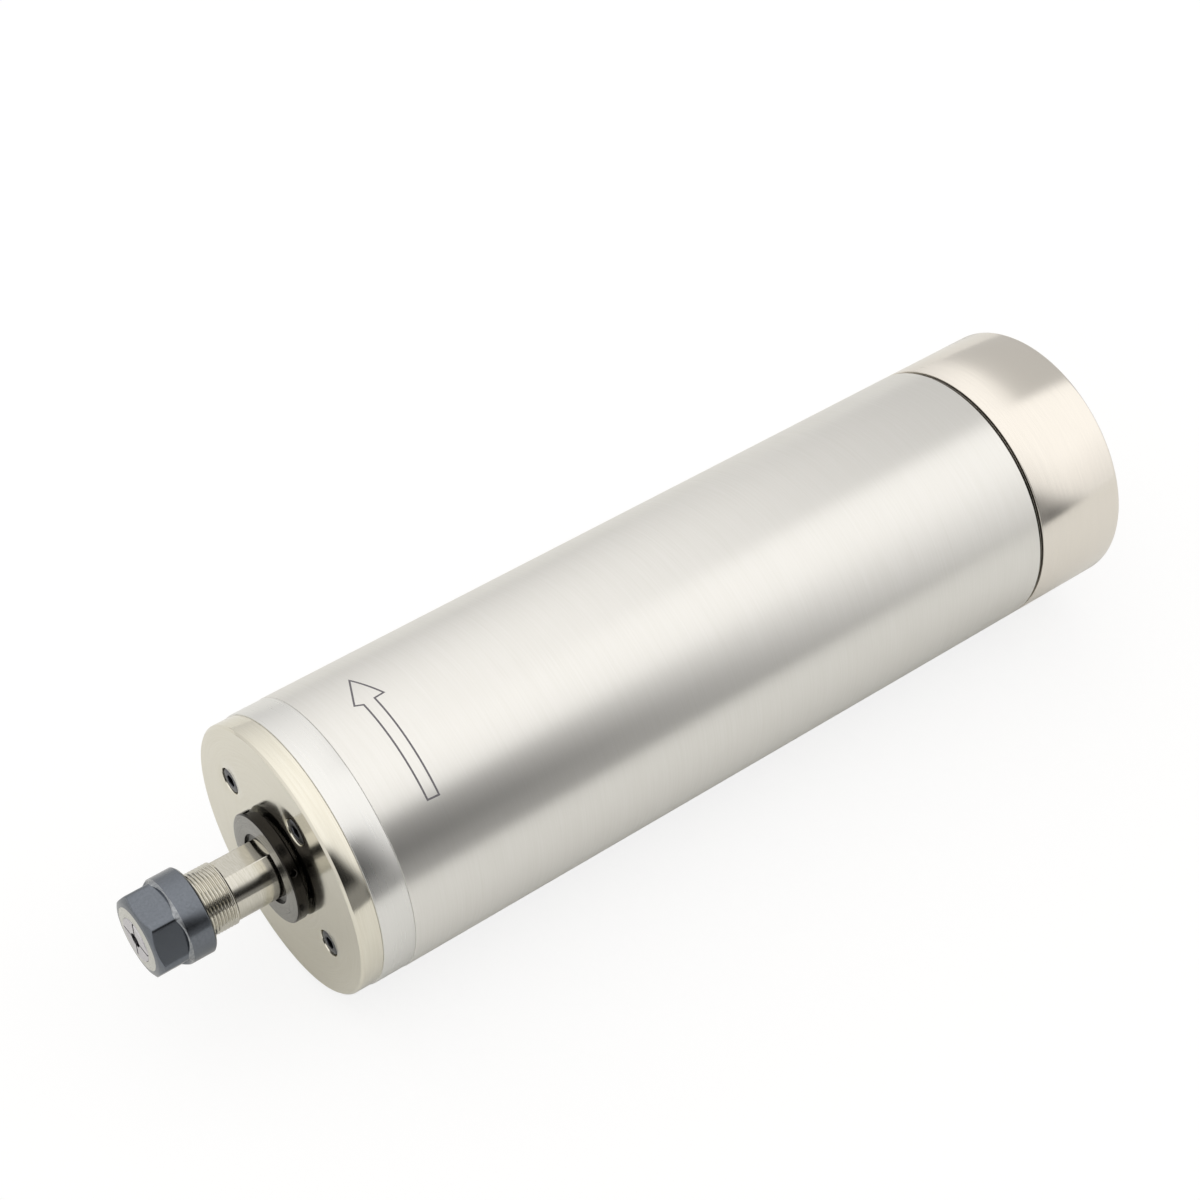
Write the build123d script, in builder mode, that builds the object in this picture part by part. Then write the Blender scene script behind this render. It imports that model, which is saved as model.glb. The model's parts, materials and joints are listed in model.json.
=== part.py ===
from build123d import *
from math import cos, isclose, pi, radians, sin, sqrt, tan
import os

# Water-cooled high-speed motor spindle: a ground steel tube that holds a two-pole motor, with an
# 8 degree collet taper on the shaft nose. The spindle lies along X, the tool end points to -X and
# +Z is up. The origin is on the shaft axis, half way along the tube, where a clamp holds it.
# Angles round the axis are counted from +Y towards +Z, as seen against the X axis.

# ---- driving dimensions (mm) -------------------------------------------------------------------

# outside of the body
body_diameter = 62.0
tube_length = 169.5
tube_wall = 3.0
ring_step = 0.1
ring_length = 7.5
plate_step = 0.25
plate_thickness = 5.0
cap_length = 25.0
cap_neck_depth = 0.9
cap_neck_length = 1.0
plate_edge_chamfer = 0.5
tube_edge_chamfer = 0.2
cap_edge_fillet = 0.8

# running gaps and seats
seat_clearance = 0.03
thread_clearance = 0.03
raceway_clearance = 0.08
labyrinth_clearance = 0.3
slip_fit = 0.05

# shaft nose and wrench flats
nose_length = 27.75
collet_seat_depth = 12.6
nose_thread_diameter = 14.0
nose_thread_length = 14.6
nose_thread_chamfer = 0.5
neck_diameter = 13.0
flat_width = 11.0
flat_length = 10.4
flat_angle = 75.0
taper_half_angle = 8.0
taper_clearance = 0.02
tool_bore_diameter = 7.2
tool_bore_length = 16.0

# locknut that clamps the front bearings and throws chips off
slinger_diameter = 24.8
slinger_thickness = 2.3
slinger_gap = 0.9
slinger_lip = 1.0
slinger_recess_diameter = 15.8
slinger_recess_depth = 0.6
slinger_sleeve_diameter = 19.0
spanner_hole_diameter = 1.5
spanner_hole_depth = 2.5
spanner_hole_count = 4
spanner_hole_angle = 53.0

# front bearings, 15 x 32 x 9 angular contact, and the rear bearing, 12 x 28 x 8
front_bearing_bore = 15.0
front_bearing_outer = 32.0
front_bearing_width = 9.0
front_ball_count = 11
rear_bearing_bore = 12.0
rear_bearing_outer = 28.0
rear_bearing_width = 8.0
rear_ball_count = 8
ball_diameter = 4.76
ring_shoulder = 1.75
cage_thickness = 1.5
cage_width = 6.6
pocket_clearance = 0.12
bearing_edge_chamfer = 0.4
plate_pilot_depth = 2.0
plate_pilot_wall = 2.0

# front bearing housing
housing_spigot_length = 23.5
housing_shoulder_bore = 26.4

# motor
shaft_collar_diameter = 19.0
shaft_collar_length = 5.0
rotor_seat_diameter = 18.0
rotor_diameter = 26.0
air_gap = 0.4
core_front_space = 16.0
core_rear_space = 26.0
yoke_thickness = 3.1
slot_count = 12
slot_width = 4.0
slot_opening = 1.2
slot_lip = 1.2
slot_liner = 0.2
end_turn_length = 12.0
end_turn_gap = 0.5
end_turn_flat = 1.8
end_turn_clearance = 1.1
rotor_bar_count = 14
rotor_bar_diameter = 2.0
rotor_bar_cover = 0.5
rotor_ring_length = 4.0
rotor_ring_step = 0.4
rear_neck_diameter = 15.0
rear_neck_margin = 3.0

# coolant jacket
jacket_wall = 5.5
channel_margin = 8.0
channel_width = 8.5
channel_depth = 1.8
land_width = 3.3
crossover_width = 9.0
drilling_diameter = 2.2
drilling_depth = 3.6
o_ring_section = 1.6
o_ring_edge = 4.0

# rear bearing housing and cap
rear_housing_length = 20.0
rear_race_recess = 2.0
rear_shoulder_bore = 20.0
spring_length = 2.0
spring_wire = 0.5
spring_waves = 3
shaft_tail = 4.0
retaining_ring_thickness = 1.2
retaining_ring_height = 1.8
cap_spigot_length = 4.0
cap_cavity_wall = 8.0
cap_wall = 5.0
wire_hole_diameter = 4.8
wire_hole_offset = 3.2
wire_hole_angle = 130.0

# screws: M3 socket heads
screw_diameter = 3.0
screw_head_diameter = 5.5
screw_head_height = 3.0
screw_socket = 2.5
screw_socket_depth = 1.5
counterbore_diameter = 6.0
counterbore_depth = 3.2
front_screw_offset = 3.5
front_screw_length = 12.0
front_screw_angle = 26.5
cap_screw_depth = 2.8
cap_screw_grip = 8.0
cap_screw_angle = 40.0
screw_count = 4

# power connector: four pins in an M16 shell
connector_thread_diameter = 16.0
connector_flange_diameter = 19.0
connector_flange_thickness = 2.0
connector_reach = 11.5
connector_bore = 13.6
connector_socket_depth = 8.0
connector_nut_width = 19.0
connector_nut_thickness = 3.0
connector_insert_length = 6.0
connector_pin_diameter = 1.5
connector_pin_circle = 8.8
connector_pin_reach = 5.0
connector_pin_tail = 2.0
connector_pin_count = 4
connector_pin_angle = 45.0
connector_rear_bore = 11.6
connector_rear_reach = 0.5
connector_key_width = 2.0
connector_key_height = 0.9

# coolant hose fittings
fitting_thread_diameter = 6.0
fitting_thread_length = 5.0
fitting_hex = 9.0
fitting_hex_thickness = 3.5
fitting_stem_diameter = 5.0
fitting_bore = 2.8
fitting_plain_length = 6.0
fitting_barb_depth = 0.5
fitting_barb_pitch = 2.0
fitting_barb_count = 3
fitting_angles = (0.0, -100.0)

# phase leads from the winding to the connector
lead_count = 3
lead_diameter = 1.4
lead_spacing = 1.6
lead_bend = 3.0
lead_straight = 6.0

# 8 degree collet, 11 mm size, with a 1/8 inch bore, and its nut
collet_length = 18.0
collet_bore = 3.175
collet_tail_diameter = 7.4
collet_rim_diameter = 11.5
collet_front_diameter = 9.5
collet_front_angle = 30.0
collet_rim_length = 2.5
collet_groove_length = 1.5
collet_groove_diameter = 9.6
collet_slit = 0.4
collet_slit_web = 3.0
collet_standout = 0.15
nut_length = 13.0
nut_diameter = 19.0
nut_hex = 17.0
nut_hex_length = 6.5
nut_run_out_length = 1.5
nut_face_diameter = 10.4
nut_face_depth = 0.4
nut_front_diameter = 16.3
nut_front_angle = 60.0
nut_rear_chamfer = 0.45
nut_corner_angle = 65.0
nut_lip_thickness = 0.9
nut_lip_diameter = 10.1
nut_lip_offset = 0.15
nut_cone_clearance = 0.06

# ---- stations along X and radii that follow ----------------------------------------------------

tube_front = -tube_length / 2
tube_rear = tube_length / 2
ring_front = tube_front - ring_length
plate_front = ring_front - plate_thickness
cap_rear = tube_rear + cap_length

tube_radius = body_diameter / 2
tube_bore = tube_radius - tube_wall
insert_radius = tube_bore - seat_clearance
ring_radius = tube_radius - ring_step
plate_radius = ring_radius - plate_step
stator_radius = tube_bore - jacket_wall
drilling_radius = tube_bore - drilling_depth
cavity_radius = tube_bore - cap_cavity_wall
front_screw_radius = front_bearing_outer / 2 + front_screw_offset
cap_screw_radius = tube_bore - cap_screw_depth
wire_hole_radius = rear_bearing_outer / 2 + wire_hole_offset

front_race = ring_front + plate_pilot_depth
front_race_middle = front_race + front_bearing_width
front_race_end = front_race_middle + front_bearing_width
housing_rear = tube_front + housing_spigot_length
rear_housing_rear = tube_rear - cap_spigot_length
jacket_rear = rear_housing_rear - rear_housing_length
jacket_length = jacket_rear - housing_rear
core_front = housing_rear + core_front_space
core_rear = jacket_rear - core_rear_space
core_length = core_rear - core_front
rear_seat = rear_housing_rear - spring_length - rear_bearing_width - rear_race_recess
rear_race = rear_seat + spring_length
rear_race_end = rear_race + rear_bearing_width
cap_floor = cap_rear - cap_wall
shaft_rear = rear_race_end + shaft_tail

nose_front = plate_front - nose_length
nose_thread_rear = nose_front + nose_thread_length
slinger_rear = plate_front - slinger_gap
slinger_front = slinger_rear - slinger_thickness
nose_thread_radius = nose_thread_diameter / 2 - slip_fit
collet_rear = nose_front + collet_seat_depth
collet_front = collet_rear - collet_length
nut_front = collet_front + collet_standout
nut_rear = nut_front + nut_length


def taper_radius(station):
    """Radius of the collet's long cone at a station."""
    return collet_tail_diameter / 2 + (collet_rear - station) * tan(radians(taper_half_angle))


def around(radius, angle):
    """Y and Z of a point at a radius and an angle round the shaft axis."""
    return radius * cos(radians(angle)), radius * sin(radians(angle))


def ring_section(start, end, inner, outer, mode=Mode.ADD):
    """Half section of a ring between two stations and two radii."""
    with Locations((start, inner)):
        Rectangle(end - start, outer - inner, align=Align.MIN, mode=mode)


def rims(part, station, radius):
    """Circular edges of a turned piece at one station and one radius."""
    circles = part.edges().filter_by(GeomType.CIRCLE)
    at_station = circles.filter_by(lambda edge: isclose(edge.arc_center.X, station, abs_tol=1e-4))
    return at_station.filter_by(lambda edge: isclose(edge.radius, radius, abs_tol=1e-4))


def keep(piece, name):
    """Labels a finished piece and writes it as its own file."""
    piece.part.label = name
    export_step(piece.part, f"parts/{name}.step")


os.makedirs("parts", exist_ok=True)

# ---- casing ------------------------------------------------------------------------------------

# Front plate: polished cover that holds the front bearings by its pilot, with four counterbored
# holes and a plain bore that the locknut's sleeve turns in.
with BuildPart() as front_plate:
    with BuildSketch(Plane.XZ):
        plate_bore = slinger_sleeve_diameter / 2 + labyrinth_clearance
        pilot_radius = front_bearing_outer / 2 - seat_clearance
        ring_section(plate_front, ring_front, plate_bore, plate_radius)
        ring_section(ring_front, front_race, pilot_radius - plate_pilot_wall, pilot_radius)
    revolve(axis=Axis.X)
    chamfer(rims(front_plate, plate_front, plate_radius), plate_edge_chamfer)
    chamfer(rims(front_plate, plate_front, plate_bore), plate_edge_chamfer)
    with BuildSketch(Plane.YZ.offset(plate_front)):
        with PolarLocations(front_screw_radius, screw_count, start_angle=front_screw_angle):
            Circle(counterbore_diameter / 2)
    extrude(amount=counterbore_depth, mode=Mode.SUBTRACT)
    with BuildSketch(Plane.YZ.offset(plate_front)):
        with PolarLocations(front_screw_radius, screw_count, start_angle=front_screw_angle):
            Circle(screw_diameter / 2 + thread_clearance)
    extrude(amount=plate_thickness, mode=Mode.SUBTRACT)
keep(front_plate, "front_plate")

# Front bearing housing: a flange between plate and tube, and a spigot pressed into the tube. The
# bore seats both front bearings against a shoulder.
with BuildPart() as front_bearing_housing:
    with BuildSketch(Plane.XZ):
        race_seat = front_bearing_outer / 2
        shoulder = housing_shoulder_bore / 2
        ring_section(ring_front, tube_front, race_seat, ring_radius)
        ring_section(tube_front, housing_rear, race_seat, insert_radius)
        ring_section(front_race_end, housing_rear, shoulder, race_seat)
    revolve(axis=Axis.X)
    chamfer(rims(front_bearing_housing, ring_front, ring_radius), tube_edge_chamfer)
    chamfer(rims(front_bearing_housing, tube_front, ring_radius), tube_edge_chamfer)
    chamfer(rims(front_bearing_housing, housing_rear, insert_radius), plate_edge_chamfer)
    with BuildSketch(Plane.YZ.offset(ring_front)):
        with PolarLocations(front_screw_radius, screw_count, start_angle=front_screw_angle):
            Circle(screw_diameter / 2 + thread_clearance)
    extrude(amount=front_screw_length, mode=Mode.SUBTRACT)
keep(front_bearing_housing, "front_bearing_housing")

# Outer tube: the ground cylinder that the machine's clamp grips.
with BuildPart() as outer_tube:
    with BuildSketch(Plane.XZ):
        ring_section(tube_front, tube_rear, tube_bore, tube_radius)
    revolve(axis=Axis.X)
    chamfer(rims(outer_tube, tube_front, tube_radius), tube_edge_chamfer)
    chamfer(rims(outer_tube, tube_rear, tube_radius), tube_edge_chamfer)
keep(outer_tube, "outer_tube")

# Rear bearing housing: a disc in the tube's rear end with the rear bearing's seat, the coolant
# drillings, the hole for the leads and the tapped holes of the cap screws.
with BuildPart() as rear_bearing_housing:
    with BuildSketch(Plane.XZ):
        ring_section(jacket_rear, rear_housing_rear, rear_shoulder_bore / 2, insert_radius)
        ring_section(rear_seat, rear_housing_rear, 0, rear_bearing_outer / 2, mode=Mode.SUBTRACT)
    revolve(axis=Axis.X)
    with BuildSketch(Plane.YZ.offset(jacket_rear)):
        for angle in fitting_angles:
            with Locations(around(drilling_radius, angle)):
                Circle(drilling_diameter / 2)
        with Locations(around(wire_hole_radius, wire_hole_angle)):
            Circle(wire_hole_diameter / 2)
    extrude(amount=rear_housing_length, mode=Mode.SUBTRACT)
    with BuildSketch(Plane.YZ.offset(rear_housing_rear)):
        with PolarLocations(cap_screw_radius, screw_count, start_angle=cap_screw_angle):
            Circle(screw_diameter / 2 + thread_clearance)
    extrude(amount=-(cap_screw_grip + screw_diameter), mode=Mode.SUBTRACT)
keep(rear_bearing_housing, "rear_bearing_housing")

# Rear cap: closes the tube behind a narrow groove, carries the connector and both hose fittings.
with BuildPart() as rear_cap:
    with BuildSketch(Plane.XZ):
        neck_rear = tube_rear + cap_neck_length
        ring_section(rear_housing_rear, tube_rear, cavity_radius, insert_radius)
        ring_section(tube_rear, neck_rear, cavity_radius, tube_radius - cap_neck_depth)
        ring_section(neck_rear, cap_floor, cavity_radius, tube_radius)
        panel_hole = connector_thread_diameter / 2 + slip_fit
        ring_section(cap_floor, cap_rear, panel_hole, tube_radius)
    revolve(axis=Axis.X)
    fillet(rims(rear_cap, cap_rear, tube_radius), cap_edge_fillet)
    chamfer(rims(rear_cap, neck_rear, tube_radius), tube_edge_chamfer)
    with BuildSketch(Plane.YZ.offset(cap_rear)):
        for angle in fitting_angles:
            with Locations(around(drilling_radius, angle)):
                Circle(fitting_thread_diameter / 2 + thread_clearance)
    extrude(amount=-(fitting_thread_length + fitting_bore), mode=Mode.SUBTRACT)
    with BuildSketch(Plane.YZ.offset(rear_housing_rear)):
        for angle in fitting_angles:
            with Locations(around(drilling_radius, angle)):
                Circle(drilling_diameter / 2)
        with PolarLocations(cap_screw_radius, screw_count, start_angle=cap_screw_angle):
            Circle(screw_diameter / 2 + thread_clearance)
    extrude(amount=cap_rear - rear_housing_rear, mode=Mode.SUBTRACT)
    with BuildSketch(Plane.YZ.offset(cap_rear)):
        with PolarLocations(cap_screw_radius, screw_count, start_angle=cap_screw_angle):
            Circle(counterbore_diameter / 2)
    extrude(amount=-counterbore_depth, mode=Mode.SUBTRACT)
keep(rear_cap, "rear_cap")


def socket_screws(name, seat, way, radius, length, first_angle):
    """Ring of socket head screws with their heads seated at a station, pointing one way along X."""
    with BuildPart() as screws:
        with BuildSketch(Plane.YZ.offset(seat)):
            with PolarLocations(radius, screw_count, start_angle=first_angle):
                Circle(screw_head_diameter / 2)
        extrude(amount=-way * screw_head_height)
        with BuildSketch(Plane.YZ.offset(seat)):
            with PolarLocations(radius, screw_count, start_angle=first_angle):
                Circle(screw_diameter / 2)
        extrude(amount=way * length)
        with BuildSketch(Plane.YZ.offset(seat - way * screw_head_height)):
            with PolarLocations(radius, screw_count, start_angle=first_angle):
                RegularPolygon(screw_socket / 2, 6, major_radius=False)
        extrude(amount=way * screw_socket_depth, mode=Mode.SUBTRACT)
    keep(screws, name)


plate_screw_seat = plate_front + counterbore_depth
cap_screw_seat = cap_rear - counterbore_depth
cap_screw_length = cap_screw_seat - rear_housing_rear + cap_screw_grip
socket_screws("front_plate_screws", plate_screw_seat, 1, front_screw_radius,
              front_screw_length, front_screw_angle)
socket_screws("rear_cap_screws", cap_screw_seat, -1, cap_screw_radius,
              cap_screw_length, cap_screw_angle)

# ---- cooling -----------------------------------------------------------------------------------

# Water jacket: sleeve round the stator. Coolant comes in at the rear channel, winds forward from
# ring to ring through gaps on alternate sides, and returns through a drilling in the wall.
channel_pitch = channel_width + land_width
channel_count = int((jacket_length - 2 * channel_margin + land_width) // channel_pitch)
channel_span = channel_count * channel_pitch - land_width
first_channel = (housing_rear + jacket_rear - channel_span) / 2
channel_floor = insert_radius - channel_depth
groove_half = o_ring_section / 2 + seat_clearance
groove_floor = insert_radius - o_ring_section - seat_clearance
o_ring_stations = (housing_rear + o_ring_edge, jacket_rear - o_ring_edge)
with BuildPart() as water_jacket:
    with BuildSketch(Plane.XZ):
        ring_section(housing_rear, jacket_rear, stator_radius, insert_radius)
        for index in range(channel_count):
            station = first_channel + index * channel_pitch
            ring_section(station, station + channel_width, channel_floor, tube_radius, Mode.SUBTRACT)
        for station in o_ring_stations:
            ring_section(station - groove_half, station + groove_half, groove_floor, tube_radius,
                         Mode.SUBTRACT)
    revolve(axis=Axis.X)
    for index in range(channel_count - 1):
        side = 1 if index % 2 else -1
        with BuildSketch(Plane.YZ.offset(first_channel + index * channel_pitch + channel_width)):
            with Locations((0, side * tube_radius)):
                Rectangle(crossover_width, 2 * (tube_radius - channel_floor))
        extrude(amount=land_width, mode=Mode.SUBTRACT)
    last_channel = first_channel + (channel_count - 1) * channel_pitch
    for angle, channel in zip(fitting_angles, (last_channel, first_channel)):
        port = channel + channel_width / 2
        with BuildSketch(Plane.YZ.offset(jacket_rear)):
            with Locations(around(drilling_radius, angle)):
                Circle(drilling_diameter / 2)
        extrude(amount=port - jacket_rear, mode=Mode.SUBTRACT)
        outward = (0, *around(1, angle))
        with BuildSketch(Plane((port, *around(drilling_radius, angle)), (1, 0, 0), outward)):
            Circle(drilling_diameter / 2)
        extrude(amount=insert_radius - drilling_radius, mode=Mode.SUBTRACT)
keep(water_jacket, "water_jacket")

for name, station in zip(("jacket_seal_front", "jacket_seal_rear"), o_ring_stations):
    with BuildPart(Plane.YZ.offset(station)) as seal:
        Torus(insert_radius - o_ring_section / 2, o_ring_section / 2)
    keep(seal, name)

# Hose fittings: a hexagon, a thread into the cap and a stem that is plain first and then barbed.
for name, angle in zip(("coolant_inlet", "coolant_outlet"), fitting_angles):
    centre = around(drilling_radius, angle)
    stem = fitting_stem_diameter / 2
    stem_start = cap_rear + fitting_hex_thickness
    with BuildPart() as fitting:
        with BuildSketch(Plane.YZ.offset(cap_rear)):
            with Locations(centre):
                RegularPolygon(fitting_hex / 2, 6, rotation=angle, major_radius=False)
        extrude(amount=fitting_hex_thickness)
        with BuildSketch(Plane((0, *centre), (1, 0, 0), (0, -1, 0))):
            with BuildLine():
                outline = [(stem_start, 0), (stem_start, stem)]
                barb = stem_start + fitting_plain_length
                for _ in range(fitting_barb_count):
                    outline += [(barb, stem), (barb + fitting_barb_pitch, stem - fitting_barb_depth)]
                    barb += fitting_barb_pitch
                Polyline(*outline, (barb, 0), close=True)
            make_face()
            ring_section(cap_rear - fitting_thread_length, cap_rear, 0, fitting_thread_diameter / 2)
            ring_section(cap_rear, stem_start, 0, stem)
        revolve(axis=Axis((0, *centre), (1, 0, 0)))
        with BuildSketch(Plane.YZ.offset(cap_rear - fitting_thread_length)):
            with Locations(centre):
                Circle(fitting_bore / 2)
        extrude(amount=barb - cap_rear + fitting_thread_length, mode=Mode.SUBTRACT)
    keep(fitting, name)

# ---- motor -------------------------------------------------------------------------------------

stator_bore = rotor_diameter / 2 + air_gap
slot_start = stator_bore + slot_lip
slot_depth = stator_radius - yoke_thickness - slot_start
slot_centre = slot_start + slot_depth / 2

# Stator core: stacked laminations with twelve half-closed slots.
with BuildPart() as stator_core:
    with BuildSketch(Plane.YZ.offset(core_front)):
        Circle(stator_radius - seat_clearance)
        Circle(stator_bore, mode=Mode.SUBTRACT)
        with PolarLocations(slot_centre, slot_count):
            Rectangle(slot_depth, slot_width, mode=Mode.SUBTRACT)
        with PolarLocations(slot_start, slot_count):
            Rectangle(2 * slot_lip + slot_liner, slot_opening, mode=Mode.SUBTRACT)
    extrude(amount=core_length)
keep(stator_core, "stator_core")

# Stator winding: copper in the slots, joined by the wound ends that stand out at both faces.
end_turn_inner = slot_start + slot_liner
end_turn_outer = stator_radius - end_turn_clearance
end_turn_corner = (end_turn_outer - end_turn_inner - end_turn_flat) / 2
with BuildPart() as stator_winding:
    with BuildSketch(Plane.YZ.offset(core_front - end_turn_gap)):
        with PolarLocations(slot_centre, slot_count):
            Rectangle(slot_depth - 2 * slot_liner, slot_width - 2 * slot_liner)
    extrude(amount=core_length + 2 * end_turn_gap)
    with BuildSketch(Plane.XZ):
        for start in (core_front - end_turn_gap - end_turn_length, core_rear + end_turn_gap):
            with Locations((start + end_turn_length / 2, (end_turn_inner + end_turn_outer) / 2)):
                RectangleRounded(end_turn_length, end_turn_outer - end_turn_inner, end_turn_corner)
    revolve(axis=Axis.X)
keep(stator_winding, "stator_winding")

# Rotor core: laminations shrunk onto the shaft, with closed slots near the rim.
bar_circle = rotor_diameter / 2 - rotor_bar_cover - rotor_bar_diameter / 2
with BuildPart() as rotor_core:
    with BuildSketch(Plane.YZ.offset(core_front)):
        Circle(rotor_diameter / 2)
        Circle(rotor_seat_diameter / 2 + seat_clearance, mode=Mode.SUBTRACT)
        with PolarLocations(bar_circle, rotor_bar_count):
            Circle(rotor_bar_diameter / 2, mode=Mode.SUBTRACT)
    extrude(amount=core_length)
keep(rotor_core, "rotor_core")

# Rotor cage: cast bars through the core, joined by a short-circuit ring at each end.
with BuildPart() as rotor_cage:
    with BuildSketch(Plane.YZ.offset(core_front)):
        with PolarLocations(bar_circle, rotor_bar_count):
            Circle(rotor_bar_diameter / 2 - seat_clearance)
    extrude(amount=core_length)
    with BuildSketch(Plane.XZ):
        ring_inner = rotor_seat_diameter / 2 + rotor_ring_step
        ring_outer = rotor_diameter / 2 - rotor_ring_step
        for start in (core_front - rotor_ring_length, core_rear):
            ring_section(start, start + rotor_ring_length, ring_inner, ring_outer)
    revolve(axis=Axis.X)
keep(rotor_cage, "rotor_cage")

# ---- shaft -------------------------------------------------------------------------------------

# Shaft: threaded nose with the collet's taper in its mouth, wrench flats on the neck, bearing
# seats and the rotor seat, and a stepped tail.
seat_front = slinger_front + slinger_lip
rotor_seat_rear = core_rear + rotor_ring_length + rear_neck_margin
tool_bore_end = collet_rear + tool_bore_length
drill_point = tool_bore_diameter / 2 / tan(radians(60))
mouth_radius = taper_radius(nose_front) + taper_clearance
with BuildPart() as shaft:
    with BuildSketch(Plane.XZ):
        collar_rear = front_race_end + shaft_collar_length
        ring_section(nose_front, nose_thread_rear, 0, nose_thread_radius)
        ring_section(nose_thread_rear, seat_front, 0, neck_diameter / 2)
        ring_section(seat_front, front_race_end, 0, front_bearing_bore / 2 - seat_clearance)
        ring_section(front_race_end, collar_rear, 0, shaft_collar_diameter / 2)
        ring_section(collar_rear, rotor_seat_rear, 0, rotor_seat_diameter / 2)
        ring_section(rotor_seat_rear, rear_race, 0, rear_neck_diameter / 2)
        ring_section(rear_race, shaft_rear, 0, rear_bearing_bore / 2 - seat_clearance)
        groove_end = rear_race_end + retaining_ring_thickness
        ring_floor = rear_bearing_bore / 2 - retaining_ring_height / 3
        ring_section(rear_race_end, groove_end, ring_floor, rear_bearing_bore, Mode.SUBTRACT)
        with BuildLine():
            Polyline(
                (nose_front, 0),
                (nose_front, mouth_radius),
                (collet_rear, taper_radius(collet_rear) + taper_clearance),
                (collet_rear, tool_bore_diameter / 2),
                (tool_bore_end, tool_bore_diameter / 2),
                (tool_bore_end + drill_point, 0),
                close=True,
            )
        make_face(mode=Mode.SUBTRACT)
    revolve(axis=Axis.X)
    chamfer(rims(shaft, nose_front, nose_thread_radius), nose_thread_chamfer)
    chamfer(rims(shaft, nose_thread_rear, nose_thread_radius), (nose_thread_diameter - neck_diameter) / 3)
    chamfer(rims(shaft, shaft_rear, rear_bearing_bore / 2 - seat_clearance), nose_thread_chamfer)
    with BuildSketch(Plane.YZ.offset(nose_thread_rear)):
        with PolarLocations(flat_width / 2, 2, start_angle=flat_angle):
            Rectangle(neck_diameter, 2 * neck_diameter, align=(Align.MIN, Align.CENTER))
    extrude(amount=flat_length, mode=Mode.SUBTRACT)
keep(shaft, "shaft")

# Slinger ring: the locknut of the front bearings. Its sleeve reaches through the plate to the
# first inner ring, its recessed lip closes on the neck, and its rim has holes for a pin spanner.
with BuildPart() as slinger_ring:
    with BuildSketch(Plane.XZ):
        thread_bore = front_bearing_bore / 2 + thread_clearance
        ring_section(slinger_front, seat_front, neck_diameter / 2 + slip_fit, slinger_diameter / 2)
        ring_section(seat_front, slinger_rear, thread_bore, slinger_diameter / 2)
        ring_section(slinger_rear, front_race, thread_bore, slinger_sleeve_diameter / 2)
        ring_section(slinger_front, slinger_front + slinger_recess_depth, 0,
                     slinger_recess_diameter / 2, mode=Mode.SUBTRACT)
    revolve(axis=Axis.X)
    chamfer(rims(slinger_ring, slinger_front, slinger_diameter / 2), tube_edge_chamfer)
    spanner_plane = Plane.YZ.offset((slinger_front + slinger_rear) / 2)
    with Locations(spanner_plane):
        with PolarLocations(slinger_diameter / 2, spanner_hole_count, start_angle=spanner_hole_angle):
            Cylinder(spanner_hole_diameter / 2, 2 * spanner_hole_depth, rotation=(0, 90, 0),
                     mode=Mode.SUBTRACT)
keep(slinger_ring, "slinger_ring")

# Retaining ring: snaps into the shaft's groove behind the rear bearing.
with BuildPart() as retaining_ring:
    with BuildSketch(Plane.YZ.offset(rear_race_end)):
        Circle(ring_floor + seat_clearance + retaining_ring_height)
        Circle(ring_floor + seat_clearance, mode=Mode.SUBTRACT)
        with Locations((0, -rear_bearing_bore / 2)):
            Rectangle(2 * retaining_ring_height, rear_bearing_bore, mode=Mode.SUBTRACT)
    extrude(amount=retaining_ring_thickness)
keep(retaining_ring, "retaining_ring")

# ---- bearings ----------------------------------------------------------------------------------

ball_radius = ball_diameter / 2
groove_radius = ball_radius + raceway_clearance


def bearing(name, start, bore, outer, width, ball_count):
    """One bearing as four pieces: two grooved rings, the balls, and the cage that spaces them."""
    pitch_radius = (bore + outer) / 4
    middle = start + width / 2
    with BuildPart() as outer_ring:
        with BuildSketch(Plane.XZ):
            ring_section(start, start + width, pitch_radius + ring_shoulder, outer / 2 - seat_clearance)
            with Locations((middle, pitch_radius)):
                Circle(groove_radius, mode=Mode.SUBTRACT)
        revolve(axis=Axis.X)
        for face in (start, start + width):
            chamfer(rims(outer_ring, face, outer / 2 - seat_clearance), bearing_edge_chamfer)
    keep(outer_ring, f"{name}_outer_ring")
    with BuildPart() as inner_ring:
        with BuildSketch(Plane.XZ):
            ring_section(start, start + width, bore / 2, pitch_radius - ring_shoulder)
            with Locations((middle, pitch_radius)):
                Circle(groove_radius, mode=Mode.SUBTRACT)
        revolve(axis=Axis.X)
        for face in (start, start + width):
            chamfer(rims(inner_ring, face, bore / 2), bearing_edge_chamfer)
    keep(inner_ring, f"{name}_inner_ring")
    with BuildPart(Plane.YZ.offset(middle)) as balls:
        with PolarLocations(pitch_radius, ball_count):
            Sphere(ball_radius)
    keep(balls, f"{name}_balls")
    with BuildPart(Plane.YZ.offset(middle)) as cage:
        Cylinder(pitch_radius + cage_thickness / 2, cage_width)
        Cylinder(pitch_radius - cage_thickness / 2, cage_width, mode=Mode.SUBTRACT)
        with PolarLocations(pitch_radius, ball_count):
            Cylinder(ball_radius + pocket_clearance, 2 * cage_thickness, rotation=(0, 90, 0),
                     mode=Mode.SUBTRACT)
    keep(cage, f"{name}_cage")


front_stations = {"front_bearing_1": front_race, "front_bearing_2": front_race_middle}
for name, station in front_stations.items():
    bearing(name, station, front_bearing_bore, front_bearing_outer, front_bearing_width, front_ball_count)
bearing("rear_bearing", rear_race, rear_bearing_bore, rear_bearing_outer, rear_bearing_width,
        rear_ball_count)

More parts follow.
